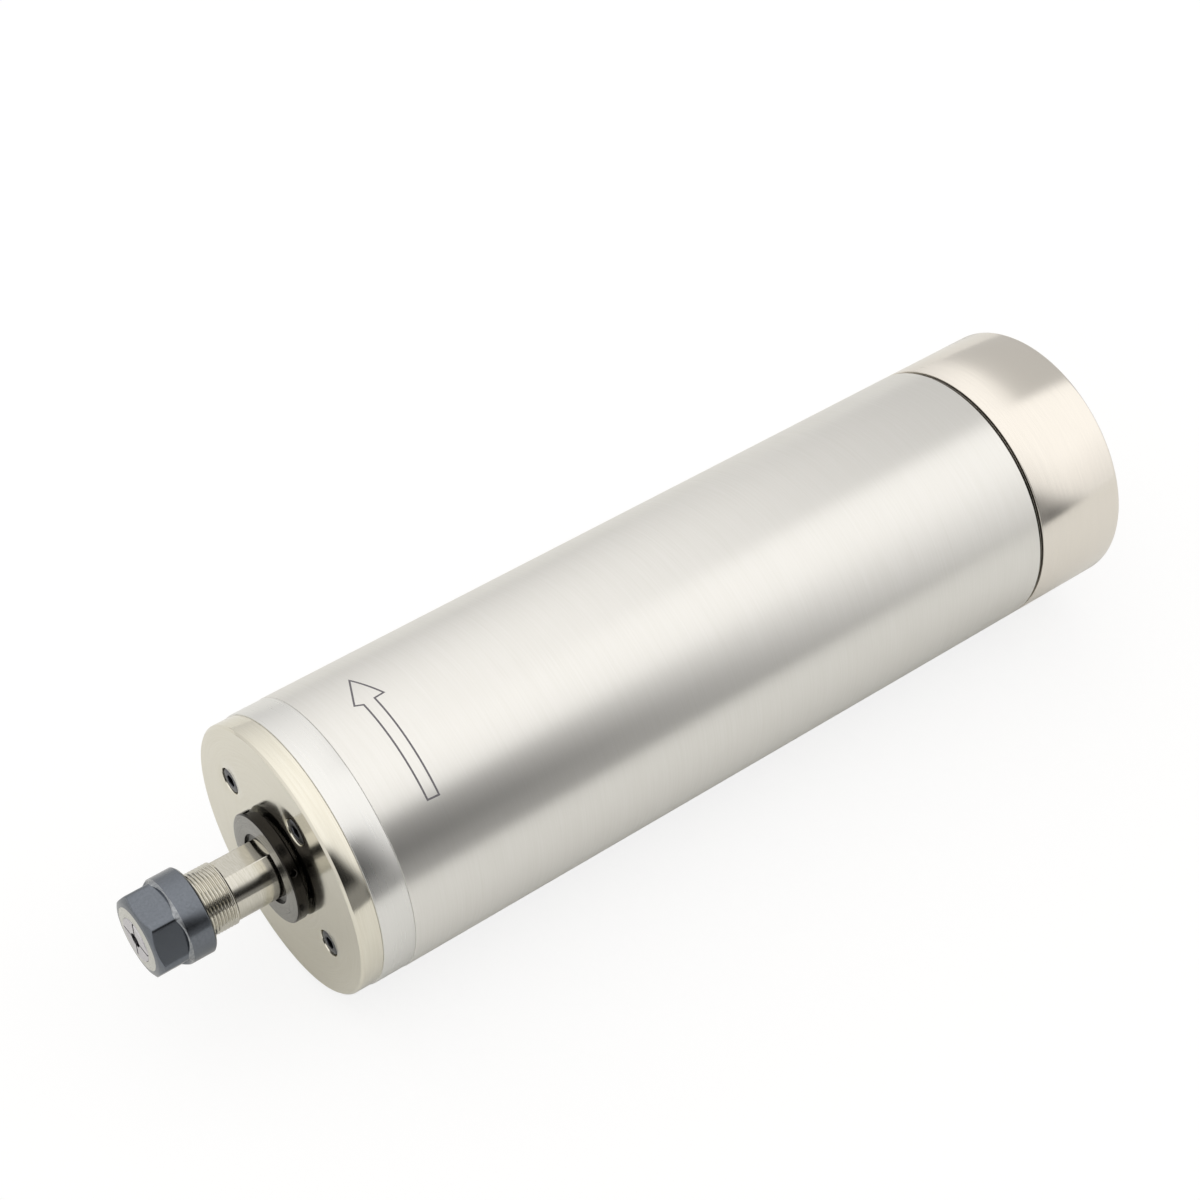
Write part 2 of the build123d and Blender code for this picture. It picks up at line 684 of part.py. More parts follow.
# Preload spring: a wave washer between the housing's shoulder and the rear bearing's outer ring.
spring_outer = rear_bearing_outer / 2 - raceway_clearance
spring_inner = rear_bearing_outer / 2 - plate_pilot_wall
spring_swing = (spring_length - spring_wire) / 2 - seat_clearance
spring_middle = rear_seat + spring_length / 2


def wave_point(radius, turn):
    """Point of the wave washer's middle surface: a circle that rises and falls along X."""
    height = spring_swing * cos(spring_waves * turn)
    return (spring_middle - spring_wire / 2 + height, radius * cos(turn), radius * sin(turn))


turns = [2 * pi * step / (8 * spring_waves) for step in range(8 * spring_waves)]
with BuildPart() as preload_spring:
    inner_wave = Spline(*[wave_point(spring_inner, turn) for turn in turns], periodic=True)
    outer_wave = Spline(*[wave_point(spring_outer, turn) for turn in turns], periodic=True)
    wave_face = Face.make_surface_from_curves(inner_wave, outer_wave)
    extrude(wave_face, amount=spring_wire, dir=(1, 0, 0))
keep(preload_spring, "preload_spring")

# ---- power connector ---------------------------------------------------------------------------

mouth = cap_rear + connector_reach
insert_front = mouth - connector_socket_depth
insert_rear = insert_front - connector_insert_length
barrel_rear = cap_floor - connector_nut_thickness - connector_rear_reach

# Connector shell: a flanged, threaded barrel through the cap's wall, keyed inside.
with BuildPart() as connector_shell:
    with BuildSketch(Plane.XZ):
        barrel = connector_thread_diameter / 2
        ring_section(barrel_rear, insert_rear, connector_rear_bore / 2, barrel)
        ring_section(insert_rear, mouth, connector_bore / 2, barrel)
        ring_section(cap_rear, cap_rear + connector_flange_thickness, barrel,
                     connector_flange_diameter / 2)
    revolve(axis=Axis.X)
    chamfer(rims(connector_shell, mouth, barrel), plate_edge_chamfer)
    with BuildSketch(Plane.YZ.offset(insert_front)):
        with Locations((0, connector_bore / 2)):
            Rectangle(connector_key_width, 2 * connector_key_height)
        Circle(barrel - slip_fit, mode=Mode.INTERSECT)
    extrude(amount=connector_socket_depth - connector_key_height)
keep(connector_shell, "connector_shell")

# Connector nut: holds the shell from inside the cap.
with BuildPart() as connector_nut:
    with BuildSketch(Plane.YZ.offset(cap_floor - connector_nut_thickness)):
        RegularPolygon(connector_nut_width / 2, 6, major_radius=False)
        Circle(connector_thread_diameter / 2 + thread_clearance, mode=Mode.SUBTRACT)
    extrude(amount=connector_nut_thickness)
keep(connector_nut, "connector_nut")

# Connector insert: insulating disc that carries the pins.
with BuildPart() as connector_insert:
    with BuildSketch(Plane.YZ.offset(insert_rear)):
        Circle(connector_bore / 2 - seat_clearance)
        with PolarLocations(connector_pin_circle / 2, connector_pin_count, connector_pin_angle):
            Circle(connector_pin_diameter / 2 + seat_clearance, mode=Mode.SUBTRACT)
    extrude(amount=connector_insert_length)
keep(connector_insert, "connector_insert")

# Connector pins: four contacts with rounded tips.
pin_tail = insert_rear - connector_pin_tail
pin_tip = insert_front + connector_pin_reach
with BuildPart() as connector_pins:
    with BuildSketch(Plane.YZ.offset(pin_tail)):
        with PolarLocations(connector_pin_circle / 2, connector_pin_count, connector_pin_angle):
            Circle(connector_pin_diameter / 2)
    extrude(amount=pin_tip - pin_tail)
    fillet(rims(connector_pins, pin_tip, connector_pin_diameter / 2), connector_pin_diameter / 3)
keep(connector_pins, "connector_pins")

# Phase leads: from the winding's rear end through the rear housing to three of the pins.
lead_start = core_rear + end_turn_gap + end_turn_length
hole_centre = around(wire_hole_radius, wire_hole_angle)
with BuildPart() as phase_leads:
    for phase in range(lead_count):
        across = around(lead_spacing / sqrt(3), wire_hole_angle + 120 * (phase - 1))
        start = (hole_centre[0] + across[0], hole_centre[1] + across[1])
        pin = around(connector_pin_circle / 2, connector_pin_angle + 90 * phase)
        with BuildLine():
            route = FilletPolyline(
                (lead_start, *start),
                (rear_housing_rear + lead_straight, *start),
                (barrel_rear - lead_bend, *pin),
                (pin_tail, *pin),
                radius=lead_bend,
            )
        with BuildSketch(Plane(route @ 0, z_dir=route % 0)):
            Circle(lead_diameter / 2)
        sweep(path=route)
keep(phase_leads, "phase_leads")

# ---- collet and nut ----------------------------------------------------------------------------

rim_radius = collet_rim_diameter / 2
front_slope = tan(radians(collet_front_angle))
front_cone_end = collet_front + (rim_radius - collet_front_diameter / 2) / front_slope
rim_end = collet_front + collet_rim_length
groove_rear = rim_end + collet_groove_length

# Collet: a short 30 degree cone that the nut presses on, the groove that the nut pulls it out by,
# and the long 8 degree cone. Eight slits from alternate ends let it close on the tool.
with BuildPart() as collet:
    with BuildSketch(Plane.XZ):
        with BuildLine():
            Polyline(
                (collet_front, collet_bore / 2),
                (collet_front, collet_front_diameter / 2),
                (front_cone_end, rim_radius),
                (rim_end, rim_radius),
                (rim_end, collet_groove_diameter / 2),
                (groove_rear, collet_groove_diameter / 2),
                (groove_rear, taper_radius(groove_rear)),
                (collet_rear, taper_radius(collet_rear)),
                (collet_rear, collet_bore / 2),
                close=True,
            )
        make_face()
    revolve(axis=Axis.X)
    slit_length = collet_length - collet_slit_web
    for start, way, first in ((collet_front, 1, 0), (collet_rear, -1, 45)):
        with BuildSketch(Plane.YZ.offset(start)):
            for angle in (first, first + 90):
                Rectangle(collet_rim_diameter + 1, collet_slit, rotation=angle)
        extrude(amount=way * slit_length, mode=Mode.SUBTRACT)
keep(collet, "collet")

# Collet nut: round collar behind, hexagon in front, whose sides run out onto the collar in a cone.
# Its front is slightly domed. Inside are the cone that presses the collet home, the eccentric lip
# that hooks in the collet's groove, and the thread.
nut_radius = nut_diameter / 2
hexagon_rear = nut_front + nut_hex_length
run_out_slope = (nut_radius - nut_hex / 2) / nut_run_out_length
with BuildPart() as facet_waste:
    with BuildSketch(Plane.XZ):
        with BuildLine():
            Polyline(
                (nut_front, 0),
                (nut_front, nut_diameter),
                (hexagon_rear + (nut_diameter - nut_hex / 2) / run_out_slope, nut_diameter),
                (hexagon_rear, nut_hex / 2),
                (hexagon_rear, 0),
                close=True,
            )
        make_face()
    revolve(axis=Axis.X)
    with BuildSketch(Plane.YZ.offset(nut_front)):
        RegularPolygon(nut_hex / 2, 6, rotation=nut_corner_angle, major_radius=False)
    extrude(amount=nut_hex_length + 2 * nut_run_out_length, mode=Mode.SUBTRACT)

nut_cone_gap = nut_cone_clearance / cos(radians(collet_front_angle))
nut_mouth = collet_front_diameter / 2 + collet_standout * front_slope + nut_cone_gap
lip_front = rim_end + (collet_groove_length - nut_lip_thickness) / 2
front_chamfer = (nut_radius - nut_front_diameter / 2) / tan(radians(nut_front_angle))
with BuildPart() as collet_nut:
    with BuildSketch(Plane.XZ):
        with BuildLine():
            Polyline(
                (nut_front, nut_mouth),
                (nut_front, nut_face_diameter / 2),
                (nut_front + nut_face_depth, nut_front_diameter / 2),
                (nut_front + nut_face_depth + front_chamfer, nut_radius),
                (nut_rear - nut_rear_chamfer, nut_radius),
                (nut_rear, nut_radius - nut_rear_chamfer),
                (nut_rear, nose_thread_diameter / 2 + slip_fit),
                (lip_front, nose_thread_diameter / 2 + slip_fit),
                (lip_front, rim_radius + nut_cone_gap),
                (front_cone_end, rim_radius + nut_cone_gap),
                close=True,
            )
        make_face()
    revolve(axis=Axis.X)
    add(facet_waste.part, mode=Mode.SUBTRACT)
    with BuildSketch(Plane.YZ.offset(lip_front)):
        Circle(nut_radius - nut_rear_chamfer)
        with Locations((nut_lip_offset, 0)):
            Circle(nut_lip_diameter / 2, mode=Mode.SUBTRACT)
    extrude(amount=nut_lip_thickness)
keep(collet_nut, "collet_nut")
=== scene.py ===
import json
from collections import namedtuple
from math import cos, radians, sin, tan

import bmesh
import bpy
import numpy as np
from mathutils import Matrix, Vector


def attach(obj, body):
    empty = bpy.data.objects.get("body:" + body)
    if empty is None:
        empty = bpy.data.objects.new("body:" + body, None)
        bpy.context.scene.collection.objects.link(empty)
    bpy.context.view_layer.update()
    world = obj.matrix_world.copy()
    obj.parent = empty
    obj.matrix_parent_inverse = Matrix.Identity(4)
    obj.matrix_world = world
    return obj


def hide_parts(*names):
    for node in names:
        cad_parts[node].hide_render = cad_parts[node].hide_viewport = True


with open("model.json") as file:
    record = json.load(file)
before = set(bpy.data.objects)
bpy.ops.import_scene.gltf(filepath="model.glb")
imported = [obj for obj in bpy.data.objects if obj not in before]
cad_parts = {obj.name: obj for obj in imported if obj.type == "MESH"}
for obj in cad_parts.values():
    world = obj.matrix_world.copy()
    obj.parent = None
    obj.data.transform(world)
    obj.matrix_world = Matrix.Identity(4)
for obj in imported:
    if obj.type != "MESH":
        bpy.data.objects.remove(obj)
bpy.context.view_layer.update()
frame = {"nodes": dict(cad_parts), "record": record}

# The looks of a water-cooled motor spindle. Lengths are in millimetres until a mesh is made. The
# shaft axis is X, the tool end points to -X, +Z is up, and angles run from +Y towards +Z. TURN and
# QUARTER have a point a degree, so that faces and sides meet. FIT is the clearance on a radius that
# the solids leave between parts that slide into each other.

MM = 0.001
TURN, QUARTER = np.radians(np.arange(360.0)), np.arange(-45.0, 46.0)
WHOLE = np.ones((1, len(TURN)))
ARC_STEPS, SHARPNESS, CREASE = 4, 14.0, 28.0
FIT = 0.03

Extent = namedtuple("Extent", "front rear inner outer")


def extent(name):
    """Where a CAD node begins and ends along X, and its least and largest distance from the axis,
    in millimetres to two places."""
    mesh = frame["nodes"][name].data
    points = np.empty(3 * len(mesh.vertices))
    mesh.vertices.foreach_get("co", points)
    x, y, z = points.reshape(-1, 3).T / MM
    r = np.hypot(y, z)
    return Extent(*(round(float(value), 2) for value in (x.min(), x.max(), r.min(), r.max())))


# ---- surfaces ----------------------------------------------------------------------------------

def cells(rows, columns):
    """Corner numbers of the cells of a grid whose last column joins its first."""
    row, column = np.meshgrid(np.arange(rows - 1), np.arange(columns), indexing="ij")
    beside = (column + 1) % columns
    corners = (row * columns + column, row * columns + beside,
               (row + 1) * columns + beside, (row + 1) * columns + column)
    return np.stack(corners, -1).reshape(-1, 4)


def rounded(*corners, closed=False):
    """Outline through (x, r, edge radius) corners. Each corner gives way to the circular arc that
    touches both its sides: a quadratic curve whose middle weight is the sine of half the angle."""
    corners = np.array(corners, float)
    point, radius = corners[:, :2], corners[:, 2:]
    back = np.roll(point, 1, 0) - point
    on = np.roll(point, -1, 0) - point
    back /= np.linalg.norm(back, axis=1, keepdims=True)
    on /= np.linalg.norm(on, axis=1, keepdims=True)
    half = np.arccos(np.clip((back * on).sum(1, keepdims=True), -1, 1)) / 2
    reach = radius / np.maximum(np.tan(half), 1e-6)
    step = np.linspace(0, 1, ARC_STEPS + 1)[None, :, None]
    weights = (1 - step) ** 2, 2 * step * (1 - step) * np.sin(half)[:, None], step ** 2
    ends = point + back * reach, point, point + on * reach
    arc = sum(weight * end[:, None] for weight, end in zip(weights, ends)) / sum(weights)
    line = arc.reshape(-1, 2)
    if closed:
        line = np.vstack([line, line[:1]])
    apart = np.linalg.norm(np.diff(line, axis=0), axis=1) > 1e-5
    return line[np.append(True, apart)].T


def turned(x, r, centre=(0.0, 0.0)):
    """Surface round an axis along X: the point of a row at angle t is x, cy + r cos t, cz + r sin t.
    x and r hold one value a row, or one for each row and angle."""
    x, r = (np.asarray(v, float) for v in (x, r))
    x, r = (v[:, None] if v.ndim == 1 else v for v in (x, r))
    x, r = np.broadcast_arrays(x + 0 * TURN, r + 0 * TURN)
    points = np.stack([x, centre[0] + r * np.cos(TURN), centre[1] + r * np.sin(TURN)], -1)
    return points.reshape(-1, 3), cells(*x.shape)


def stacked(*bands):
    """Rows of x and r from several bands, each with one value a row or one for each angle."""
    def full(value):
        value = np.asarray(value, float)
        value = value[:, None] if value.ndim == 1 else value
        return np.broadcast_to(value, (len(value), len(TURN)))
    return np.vstack([full(x) for x, _ in bands]), np.vstack([full(r) for _, r in bands])


def bored(edge, centre, wall, rows=5):
    """Face with one hole. The hole's rings, as (radius, depth) from its middle outwards, lie on rays
    from its centre to the edge's points. The web then runs along each ray to the edge."""
    ray = edge - centre
    reach = np.linalg.norm(ray, axis=1)[None, :, None]
    unit = ray[None] / reach
    radius, depth = (np.array(v, float)[:, None, None] for v in zip(*wall))
    share = np.linspace(0, 1, rows)[1:, None, None]
    distance = np.vstack([radius + 0 * reach, radius[-1] + (reach - radius[-1]) * share])
    flat = centre + unit * distance
    down = np.vstack([depth + 0 * reach, 0 * reach * share])
    return np.concatenate([flat, down], -1)


def sector(inner, outer, middle):
    """Edge of a quarter of a ring, in Y and Z: along the outer arc, in, back along the inner arc."""
    angle = np.radians(middle + QUARTER)
    side = np.linspace(outer, inner, 9)[1:-1]
    r = np.concatenate([outer + 0 * QUARTER, side, inner + 0 * QUARTER, side[::-1]])
    t = np.concatenate([angle, 0 * side + angle[-1], angle[::-1], 0 * side + angle[0]])
    return np.stack([r * np.cos(t), r * np.sin(t)], -1)


def bolted_face(station, way, inner, outer, circle, first, wall):
    """Flat ring face across X with four counterbored holes, as four bored quarters. way is -1 for a
    face that looks to -X and 1 for one that looks to +X."""
    made = []
    for middle in first + 90.0 * np.arange(4):
        web = bored(sector(inner, outer, middle), np.array(around(circle, middle)), wall)
        if way > 0:
            web = web[:, ::-1]
        x = station - way * web[..., 2]
        points = np.stack([x, web[..., 0], web[..., 1]], -1)
        made.append((points.reshape(-1, 3), cells(*x.shape)))
    return made


def hexagon(across, corner):
    """Distance from the middle to the side of a hexagon at every angle: half its width over the
    cosine of the angle to the nearest side's middle."""
    step = np.pi / 3
    return across / 2 / np.cos((TURN - radians(corner)) % step - step / 2)


def softened(first, second):
    """The smaller of two radii, blended where they cross: minus the log of the summed decays."""
    return -np.log(np.exp(-SHARPNESS * first) + np.exp(-SHARPNESS * second)) / SHARPNESS


def threaded(start, end, crest, pitch):
    """Rows of a right-hand thread. Its depth follows how far along its pitch each point is: x over
    the pitch less the angle over a full turn. The root takes a quarter of the pitch, each straight
    side three tenths, and the crest the rest. The groove is 0.42 of the pitch deep, and fades out
    over half a pitch at both ends."""
    x = np.arange(start, end + pitch / 20, pitch / 10)[:, None]
    off_root = np.abs((x / pitch - TURN / (2 * np.pi)) % 1 - 0.5) * 2
    groove = 1 - np.clip((off_root - 0.25) / 0.6, 0, 1)
    ends = np.clip(np.minimum(x - start, end - x) / (pitch / 2), 0, 1)
    return x + 0 * TURN, crest - 0.42 * pitch * groove * ends


def around(radius, angle):
    """Y and Z of a point at a radius and an angle round the axis."""
    return radius * cos(radians(angle)), radius * sin(radians(angle))


def socket_screw(centre, seat, way, length):
    """M3 socket screw with its head's seat at a station and its shank pointing to way. The rows, as
    depth from the head's top and radius, run from the socket's bottom to the shank's end."""
    head, height, shank, socket_depth = 2.75, 3.0, 1.5, 1.5
    socket, end = hexagon(2.5, 0.0), height + length
    rows = ((socket_depth, 0), (socket_depth, socket), (0.15, socket), (0, socket + 0.15),
            (0, head - 0.3), (0.09, head - 0.09), (0.3, head), (height, head),
            (height, shank), (end, shank), (end, 0))
    x = np.array([seat - way * (height - depth) for depth, _ in rows])
    r = np.array([radius + 0 * socket for _, radius in rows])
    return turned(x, r, centre) if way > 0 else turned(x[::-1], r[::-1], centre)


def piece(name, surfaces, body, nodes, finish):
    """One closed mesh from surfaces, on a CAD body, in place of CAD nodes, with a finish."""
    starts = np.cumsum([0] + [len(points) for points, _ in surfaces])[:-1]
    points = np.concatenate([points for points, _ in surfaces]) * MM
    quads = np.concatenate([corner + start for (_, corner), start in zip(surfaces, starts)])
    mesh = bpy.data.meshes.new(name)
    mesh.from_pydata(points.tolist(), [], quads.tolist())
    welded = bmesh.new()
    welded.from_mesh(mesh)
    bmesh.ops.remove_doubles(welded, verts=welded.verts, dist=2e-6)
    bmesh.ops.dissolve_degenerate(welded, edges=welded.edges, dist=1e-7)
    welded.to_mesh(mesh)
    welded.free()
    mesh.shade_smooth()
    mesh.set_sharp_from_angle(angle=radians(CREASE))
    mesh.materials.append(finish)
    made = bpy.data.objects.new(name, mesh)
    bpy.context.scene.collection.objects.link(made)
    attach(made, body)
    if nodes:
        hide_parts(*nodes)
    return made


def repaint(made, finish, chosen):
    """Gives a second finish to the faces that a rule chooses. The rule reads each face's station,
    its distance from the axis, and how far it faces along X."""
    faces = made.data.polygons
    centre, normal = np.empty(3 * len(faces)), np.empty(3 * len(faces))
    faces.foreach_get("center", centre)
    faces.foreach_get("normal", normal)
    x, y, z = centre.reshape(-1, 3).T / MM
    index = np.zeros(len(faces), np.int32)
    faces.foreach_get("material_index", index)
    index[chosen(x, np.hypot(y, z), normal[::3])] = len(made.data.materials)
    faces.foreach_set("material_index", index)
    made.data.materials.append(finish)


# ---- finishes ----------------------------------------------------------------------------------

def linear(colour):
    """Linear red, green, blue and alpha of an sRGB hex colour."""
    part = np.array([int(colour[i:i + 2], 16) for i in (0, 2, 4)]) / 255
    return *np.where(part <= 0.04045, part / 12.92, ((part + 0.055) / 1.055) ** 2.4), 1.0


def node(tree, kind, values=None, **settings):
    """Adds a shader node. values go to its sockets, as numbers or as links from other sockets."""
    made = tree.nodes.new("ShaderNode" + kind)
    for name, value in settings.items():
        setattr(made, name, value)
    for socket, value in (values or {}).items():
        if isinstance(value, bpy.types.NodeSocket):
            tree.links.new(value, made.inputs[socket])
        else:
            made.inputs[socket].default_value = value
    return made


def lathe_grain(tree, along, across, radial):
    """Noise along tool marks that run round the axis: x, the angle and the radius, each divided by
    the length in mm over which the mark changes that way."""
    place = node(tree, "SeparateXYZ", {0: node(tree, "TexCoord").outputs["Object"]}).outputs
    squares = node(tree, "Math", {0: place[1], 1: place[1]}, operation="MULTIPLY").outputs[0]
    square = node(tree, "Math", {0: place[2], 1: place[2], 2: squares}, operation="MULTIPLY_ADD")
    distance = node(tree, "Math", {0: square.outputs[0]}, operation="SQRT").outputs[0]
    x, y, z, w = (node(tree, "Math", {0: value, 1: 1 / MM / size}, operation="MULTIPLY").outputs[0]
                  for value, size in zip((*place, distance), (along, across, across, radial)))
    vector = node(tree, "CombineXYZ", {0: x, 1: y, 2: z}).outputs[0]
    return node(tree, "TexNoise", {"Vector": vector, "W": w, "Scale": 1.0, "Detail": 3.0,
                                   "Roughness": 0.6}, noise_dimensions="4D").outputs["Fac"]


def toned(tree, pattern, colour, dark, rough, smooth, bump):
    """Ties a shader to one 0 to 1 pattern, stretched about its middle: two tones, a roughness that
    falls as the tone lightens, and a relief in mm. Returns the shader."""
    shader = tree.nodes["Principled BSDF"]
    share = node(tree, "MapRange", {0: pattern, 1: 0.3, 2: 0.7}).outputs[0]
    tone = node(tree, "Mix", {0: share, 6: linear(dark), 7: linear(colour)}, data_type="RGBA")
    grade = node(tree, "MapRange", {0: share, 3: rough, 4: smooth})
    relief = node(tree, "Bump", {"Height": pattern, "Strength": 1.0, "Distance": bump * MM})
    tree.links.new(tone.outputs[2], shader.inputs["Base Color"])
    tree.links.new(grade.outputs[0], shader.inputs["Roughness"])
    tree.links.new(relief.outputs[0], shader.inputs["Normal"])
    return shader


def metal(name, colour, dark, roughness, spread, grain, bump, stretch=0.0):
    """Bare metal that follows its tool marks. grain holds the marks' lengths in mm along X, round the
    axis and outwards. stretch draws reflections out along X, across marks that run round it."""
    made = bpy.data.materials.new(name)
    made.use_nodes = True
    tree = made.node_tree
    shader = toned(tree, lathe_grain(tree, *grain), colour, dark,
                   roughness + spread, roughness - spread, bump)
    shader.inputs["Metallic"].default_value = 1.0
    shader.inputs["Anisotropic"].default_value = stretch
    if stretch:
        lengthwise = node(tree, "CombineXYZ", {0: 1.0, 1: 0.01, 2: 0.01}).outputs[0]
        tree.links.new(lengthwise, shader.inputs["Tangent"])
    return made


def plain(name, colour, dark, roughness, size, bump, metallic=0.0, coat=0.0):
    """A finish with no direction, from one noise whose specks are size mm wide."""
    made = bpy.data.materials.new(name)
    made.use_nodes = True
    tree = made.node_tree
    place = node(tree, "TexCoord").outputs["Object"]
    speck = node(tree, "TexNoise", {"Vector": place, "Scale": 1 / MM / size, "Detail": 4.0})
    shader = toned(tree, speck.outputs["Fac"], colour, dark, roughness * 1.15, roughness * 0.85, bump)
    shader.inputs["Metallic"].default_value = metallic
    shader.inputs["Coat Weight"].default_value = coat
    return made


# Nickel plate over turned steel: warm, mirror-like, with faint turning rings.
nickel = metal("nickel_plated_steel", "E6E3D7", "DFDBCD", 0.13, 0.02, (0.3, 9.0, 0.25), 0.0003)
# The same plate over a finely ground side: warm, and slightly veiled by marks round the axis.
nickel_ground = metal("nickel_plated_ground_steel", "E9E4DC", "E5E0D8", 0.17, 0.015,
                      (0.25, 12.0, 2.0), 0.00012)
# Bottom of the turned groove behind the tube: painted nearly black as the shade deep in the groove.
groove_painted_shade = metal("nickel_groove_painted_shade", "3C3934", "2B2926", 0.38, 0.04, (0.2, 4.0, 0.3), 0.0006)
# Bright fine-turned steel: cool and even, its reflections drawn out along the axis.
ring_finish = metal("fine_turned_steel", "E6E6E4", "E2E2E0", 0.28, 0.01, (0.2, 12.0, 2.0), 0.0001, 0.6)
# Stainless steel ground between centres: light and satin, with fine grain round the axis that draws
# its reflections out along it.
tube_finish = metal("ground_stainless_steel", "E6E5E2", "E2E1DD", 0.33, 0.015,
                    (0.35, 14.0, 3.0), 0.00015, 0.6)
# Ground and hardened shaft steel: bright, with a yellow tinge from oil in the grain.
shaft_finish = metal("ground_shaft_steel", "D6D3CA", "C6C3B8", 0.14, 0.02, (0.2, 3.0, 0.4), 0.0003)
# Turned alloy steel with a gloss of oil, its colour painted near black as the shade on its rim and in the
# recess round the neck.
slinger_painted_shade = metal("turned_alloy_steel_painted_shade", "373532", "2E2C2A", 0.22, 0.03, (0.2, 4.0, 0.3), 0.0004)
# Turned face of the same ring: lighter, with visible rings.
slinger_face_finish = metal("turned_alloy_face", "9A9996", "878683", 0.26, 0.04,
                            (0.2, 6.0, 0.2), 0.0008)
# Black oxide on milled steel: blue-black and satin.
nut_finish = plain("black_oxide_steel", "767B83", "6E737A", 0.22, 0.5, 0.00015, metallic=1.0)
# Face of the nut where the oxide has been turned away: pale and fine.
nut_face_finish = metal("turned_nut_face", "D3D3CD", "C7C7C2", 0.28, 0.03, (0.2, 2.0, 0.15), 0.0006)
# Edge of the nut's collar where handling has worn the oxide through: bright and smooth.
nut_edge_finish = plain("worn_oxide_edge", "A6A9AD", "85898E", 0.28, 0.6, 0.0003, metallic=1.0)
# Hardened and ground spring steel of the collet: pale, cool and satin.
collet_finish = metal("ground_spring_steel", "CFCDD2", "BFBDC3", 0.25, 0.03, (0.2, 2.0, 0.2), 0.0005)
# Black oxide on alloy steel screws: nearly black, a little gloss from oil.
screw_finish = plain("oxidised_screw_steel", "5A5C62", "3E4046", 0.3, 0.3, 0.001, metallic=1.0)
# Steel darkened by a laser: brown-grey and dull.
laser_mark = plain("laser_darkened_steel", "77757A", "6A686D", 0.5, 0.2, 0.0005, metallic=0.6)
# Lapped bearing steel: the brightest and smoothest metal inside.
bearing_finish = metal("lapped_bearing_steel", "D9DADC", "CFD0D3", 0.12, 0.02, (0.2, 3.0, 0.3), 0.0004)
# Cloth laminate in resin: amber brown and half matt, with the weave as a low grain.
cage_finish = plain("cotton_phenolic_resin", "8C5A2E", "6E4421", 0.55, 0.5, 0.02)
# Hardened spring strip: mid grey and satin.
spring_finish = plain("tempered_spring_steel", "9A9CA2", "84868C", 0.3, 0.3, 0.001, metallic=1.0)
# Turned aluminium: pale, soft, with tool marks that show.
jacket_finish = metal("turned_aluminium", "D4D5D8", "C6C7CB", 0.3, 0.05, (0.3, 5.0, 0.3), 0.001)
# Moulded nitrile rubber: black and matt.
seal_finish = plain("nitrile_rubber", "1E1E1F", "161617", 0.6, 0.2, 0.004)
# Edges of 0.5 mm stamped sheets in a stack: grey stripes across the axis.
lamination_finish = metal("stacked_electrical_steel", "8F9296", "5C5F64", 0.42, 0.08,
                          (0.5, 40.0, 30.0), 0.01)
# Enamelled copper wire under varnish: orange-brown, with the coat's gloss over the wires' grain.
winding_finish = plain("varnished_copper_wire", "A85A26", "7C3C14", 0.32, 0.9, 0.08, coat=0.6)
# Aluminium as it comes from the die: light grey and dull.
rotor_finish = plain("cast_aluminium", "C2C4C7", "AEB0B4", 0.45, 0.6, 0.01, metallic=1.0)
# Chromium plate over turned brass: cool and mirror-like.
chrome_finish = metal("chrome_plated_brass", "E3E4E6", "D9DADD", 0.12, 0.02, (0.2, 3.0, 0.3), 0.0005)
# Moulded phenolic: black with a soft gloss.
plastic_finish = plain("moulded_phenolic_plastic", "201F1E", "181716", 0.42, 0.3, 0.003)
# Silver plate on brass pins: warm white, slightly tarnished.
pin_finish = plain("silver_plated_brass", "DFD6C0", "CFC5AC", 0.2, 0.3, 0.0005, metallic=1.0)
# Nickel plate over brass that has been turned: yellowish and bright.
brass_finish = metal("nickel_plated_brass", "DCD2B4", "CDBF9C", 0.22, 0.04, (0.2, 2.5, 0.4), 0.0008)
# Silicone insulation: brick red and waxy.
lead_finish = plain("silicone_wire_insulation", "A83226", "8E271D", 0.5, 0.3, 0.003)

FINISH_OF_SLOT = {
    "polished_nickel": nickel, "ring_steel": ring_finish, "tube_steel": tube_finish,
    "shaft_steel": shaft_finish, "slinger_steel": slinger_painted_shade, "nut_black": nut_finish,
    "collet_steel": collet_finish, "screw_steel": screw_finish, "bearing_steel": bearing_finish,
    "cage_phenolic": cage_finish, "spring_steel": spring_finish, "jacket_aluminium": jacket_finish,
    "seal_rubber": seal_finish, "lamination_steel": lamination_finish,
    "winding_copper": winding_finish, "rotor_aluminium": rotor_finish,
    "connector_chrome": chrome_finish, "connector_plastic": plastic_finish,
    "pin_silver": pin_finish, "fitting_brass": brass_finish, "lead_insulation": lead_finish,
}

# Each CAD node wears the finish of its slot.
for part in frame["record"]["subparts"]:
    for place in frame["nodes"][part["node"]].material_slots:
        place.material = FINISH_OF_SLOT[part["material_slot"]]


# ---- body --------------------------------------------------------------------------------------

PLATE, RING, TUBE, CAP, BEARING, FITTING = map(extent, (
    "front_plate", "front_bearing_housing", "outer_tube", "rear_cap",
    "front_bearing_2_outer_ring", "coolant_inlet"))

# The ground tube, with a fine broken edge at each end.
piece("tube_shell", [turned(*rounded(
    (TUBE.front, TUBE.outer, 0.2), (TUBE.rear, TUBE.outer, 0.25),
    (TUBE.rear, TUBE.inner, 0.1), (TUBE.front, TUBE.inner, 0.1), closed=True))],
    "housing", ["outer_tube"], tube_finish)

